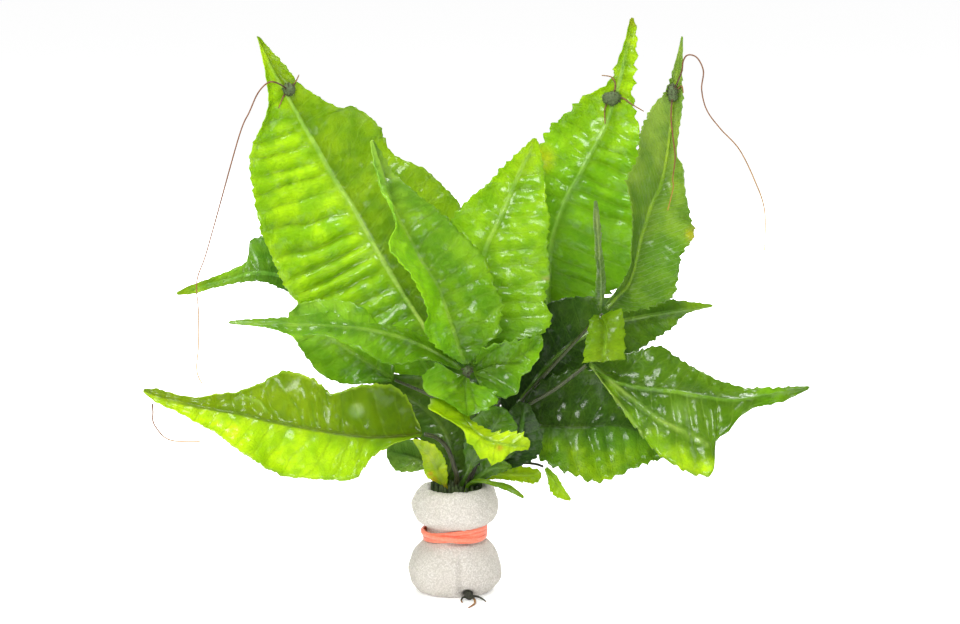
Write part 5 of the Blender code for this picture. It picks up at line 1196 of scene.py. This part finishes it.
left_bud = bud("bud_left", "leaf_tall_left", (-49.5, 148.0), (1.8, 1.4, 1.9),
               (((-51.0, 146.0), (-52.4, 142.6)), ((-47.6, 150.0), (-46.4, 152.4))))
bud("bud_middle", "leaf_upper_middle", (45.5, 145.5), (2.7, 1.4, 2.0),
    (((48.5, 145.6), (51.6, 143.6), (55.0, 141.6)), ((46.6, 149.0), (45.6, 151.6), (42.6, 152.2)),
     ((43.6, 142.6), (43.6, 138.0))))
right_bud = bud("bud_right", "leaf_upper_right", (63.5, 147.0), (1.5, 1.2, 2.5),
                (((65.2, 148.4), (66.2, 149.0), (66.6, 147.0)),))
bud("bud_front", None, (3.0, 65.3), (1.25, 1.25, 1.25), ())


# The long hair roots: wiry threads that the buds let down, dark where they leave the bud, then rust, and
# pale gold towards their tips.
ROOT_THICK = 0.25
ROOT_THIN = 0.15
ROOT_DARK = (0.06, 0.03, 0.012, 1.0)
ROOT_RUST = (0.20, 0.075, 0.02, 1.0)
ROOT_GOLD = (0.42, 0.22, 0.03, 1.0)

root_finish = Finish("root_thread", Roughness=0.4)
tint = root_finish.node("ShaderNodeAttribute", {"attribute_name": "root_tint"}, output=0)
worn = root_finish.grain(0.6, 3.0)
root_finish.feed(root_finish.shader.inputs["Base Color"],
                 root_finish.mix(worn.step(0.4, 0.7) * 0.5, tint,
                                 root_finish.mix(1.0, tint, (0.55, 0.5, 0.45), "MULTIPLY")))
root_finish.feed(root_finish.shader.inputs["Roughness"], 0.35 + worn * 0.3)
root_finish.feed(root_finish.shader.inputs["Normal"], root_finish.bump(root_finish.grain(4.0, 2.0), 0.05, 0.5))


def root(node, points, start=None):
    """A long hair root, darkest at its bud."""
    route = [seen(*point) for point in points]
    if start:
        route.insert(0, start)
    route = smooth_path(route, 9)
    bm = bmesh.new()
    layer = bm.verts.layers.float_color.new("root_tint")
    tube(bm, route, taper(ROOT_THICK, ROOT_THIN, len(route)), 8)
    bm.verts.ensure_lookup_table()
    for place, vert in enumerate(bm.verts):
        share = place / len(bm.verts)
        vert[layer] = Vector(ROOT_DARK).lerp(Vector(ROOT_RUST), soft_step(share, 0.0, 0.2)).lerp(
            Vector(ROOT_GOLD), soft_step(share, 0.5, 1.0))
    bmesh.ops.recalc_face_normals(bm, faces=bm.faces)
    return piece(node + "_thread", bm, root_finish, "root_hair", node)


root("root_left_long", (
    (-53.0, 150.0, 12.4), (-55.6, 150.0, 11.4), (-58.5, 147.0, 9.6), (-61.0, 141.5, 8.0),
    (-64.0, 134.5, 6.0), (-71.0, 109.5, 2.0), (-74.0, 99.0, 0.0), (-76.5, 91.5, -2.0), (-76.0, 82.5, -4.0),
    (-76.0, 73.0, -6.0), (-76.5, 65.5, -8.0), (-75.0, 61.5, -9.0)), left_bud)
root("root_right_long", (
    (66.0, 153.0, 12.0), (66.6, 156.5, 12.0), (68.0, 158.2, 10.0), (70.6, 157.4, 9.0),
    (72.5, 153.5, 8.0), (72.0, 148.0, 7.0), (73.5, 142.0, 6.0), (77.5, 136.5, 5.0), (83.0, 130.5, 4.0),
    (87.5, 121.5, 3.0), (90.5, 112.5, 2.0), (90.5, 100.5, 0.0)), right_bud)
root("root_right_down", (
    (63.0, 140.5, 12.0), (63.5, 134.5, 11.0), (64.2, 128.0, 9.4), (63.5, 122.0, 9.0),
    (63.6, 119.0, 8.8), (62.0, 112.5, 8.6)), right_bud)
root("root_low_left", (
    (-89.6, 55.6, -17.9), (-89.4, 53.4, -18.4), (-89.0, 49.5, -19.0), (-84.5, 45.0, -20.0), (-75.5, 44.5, -22.0)))
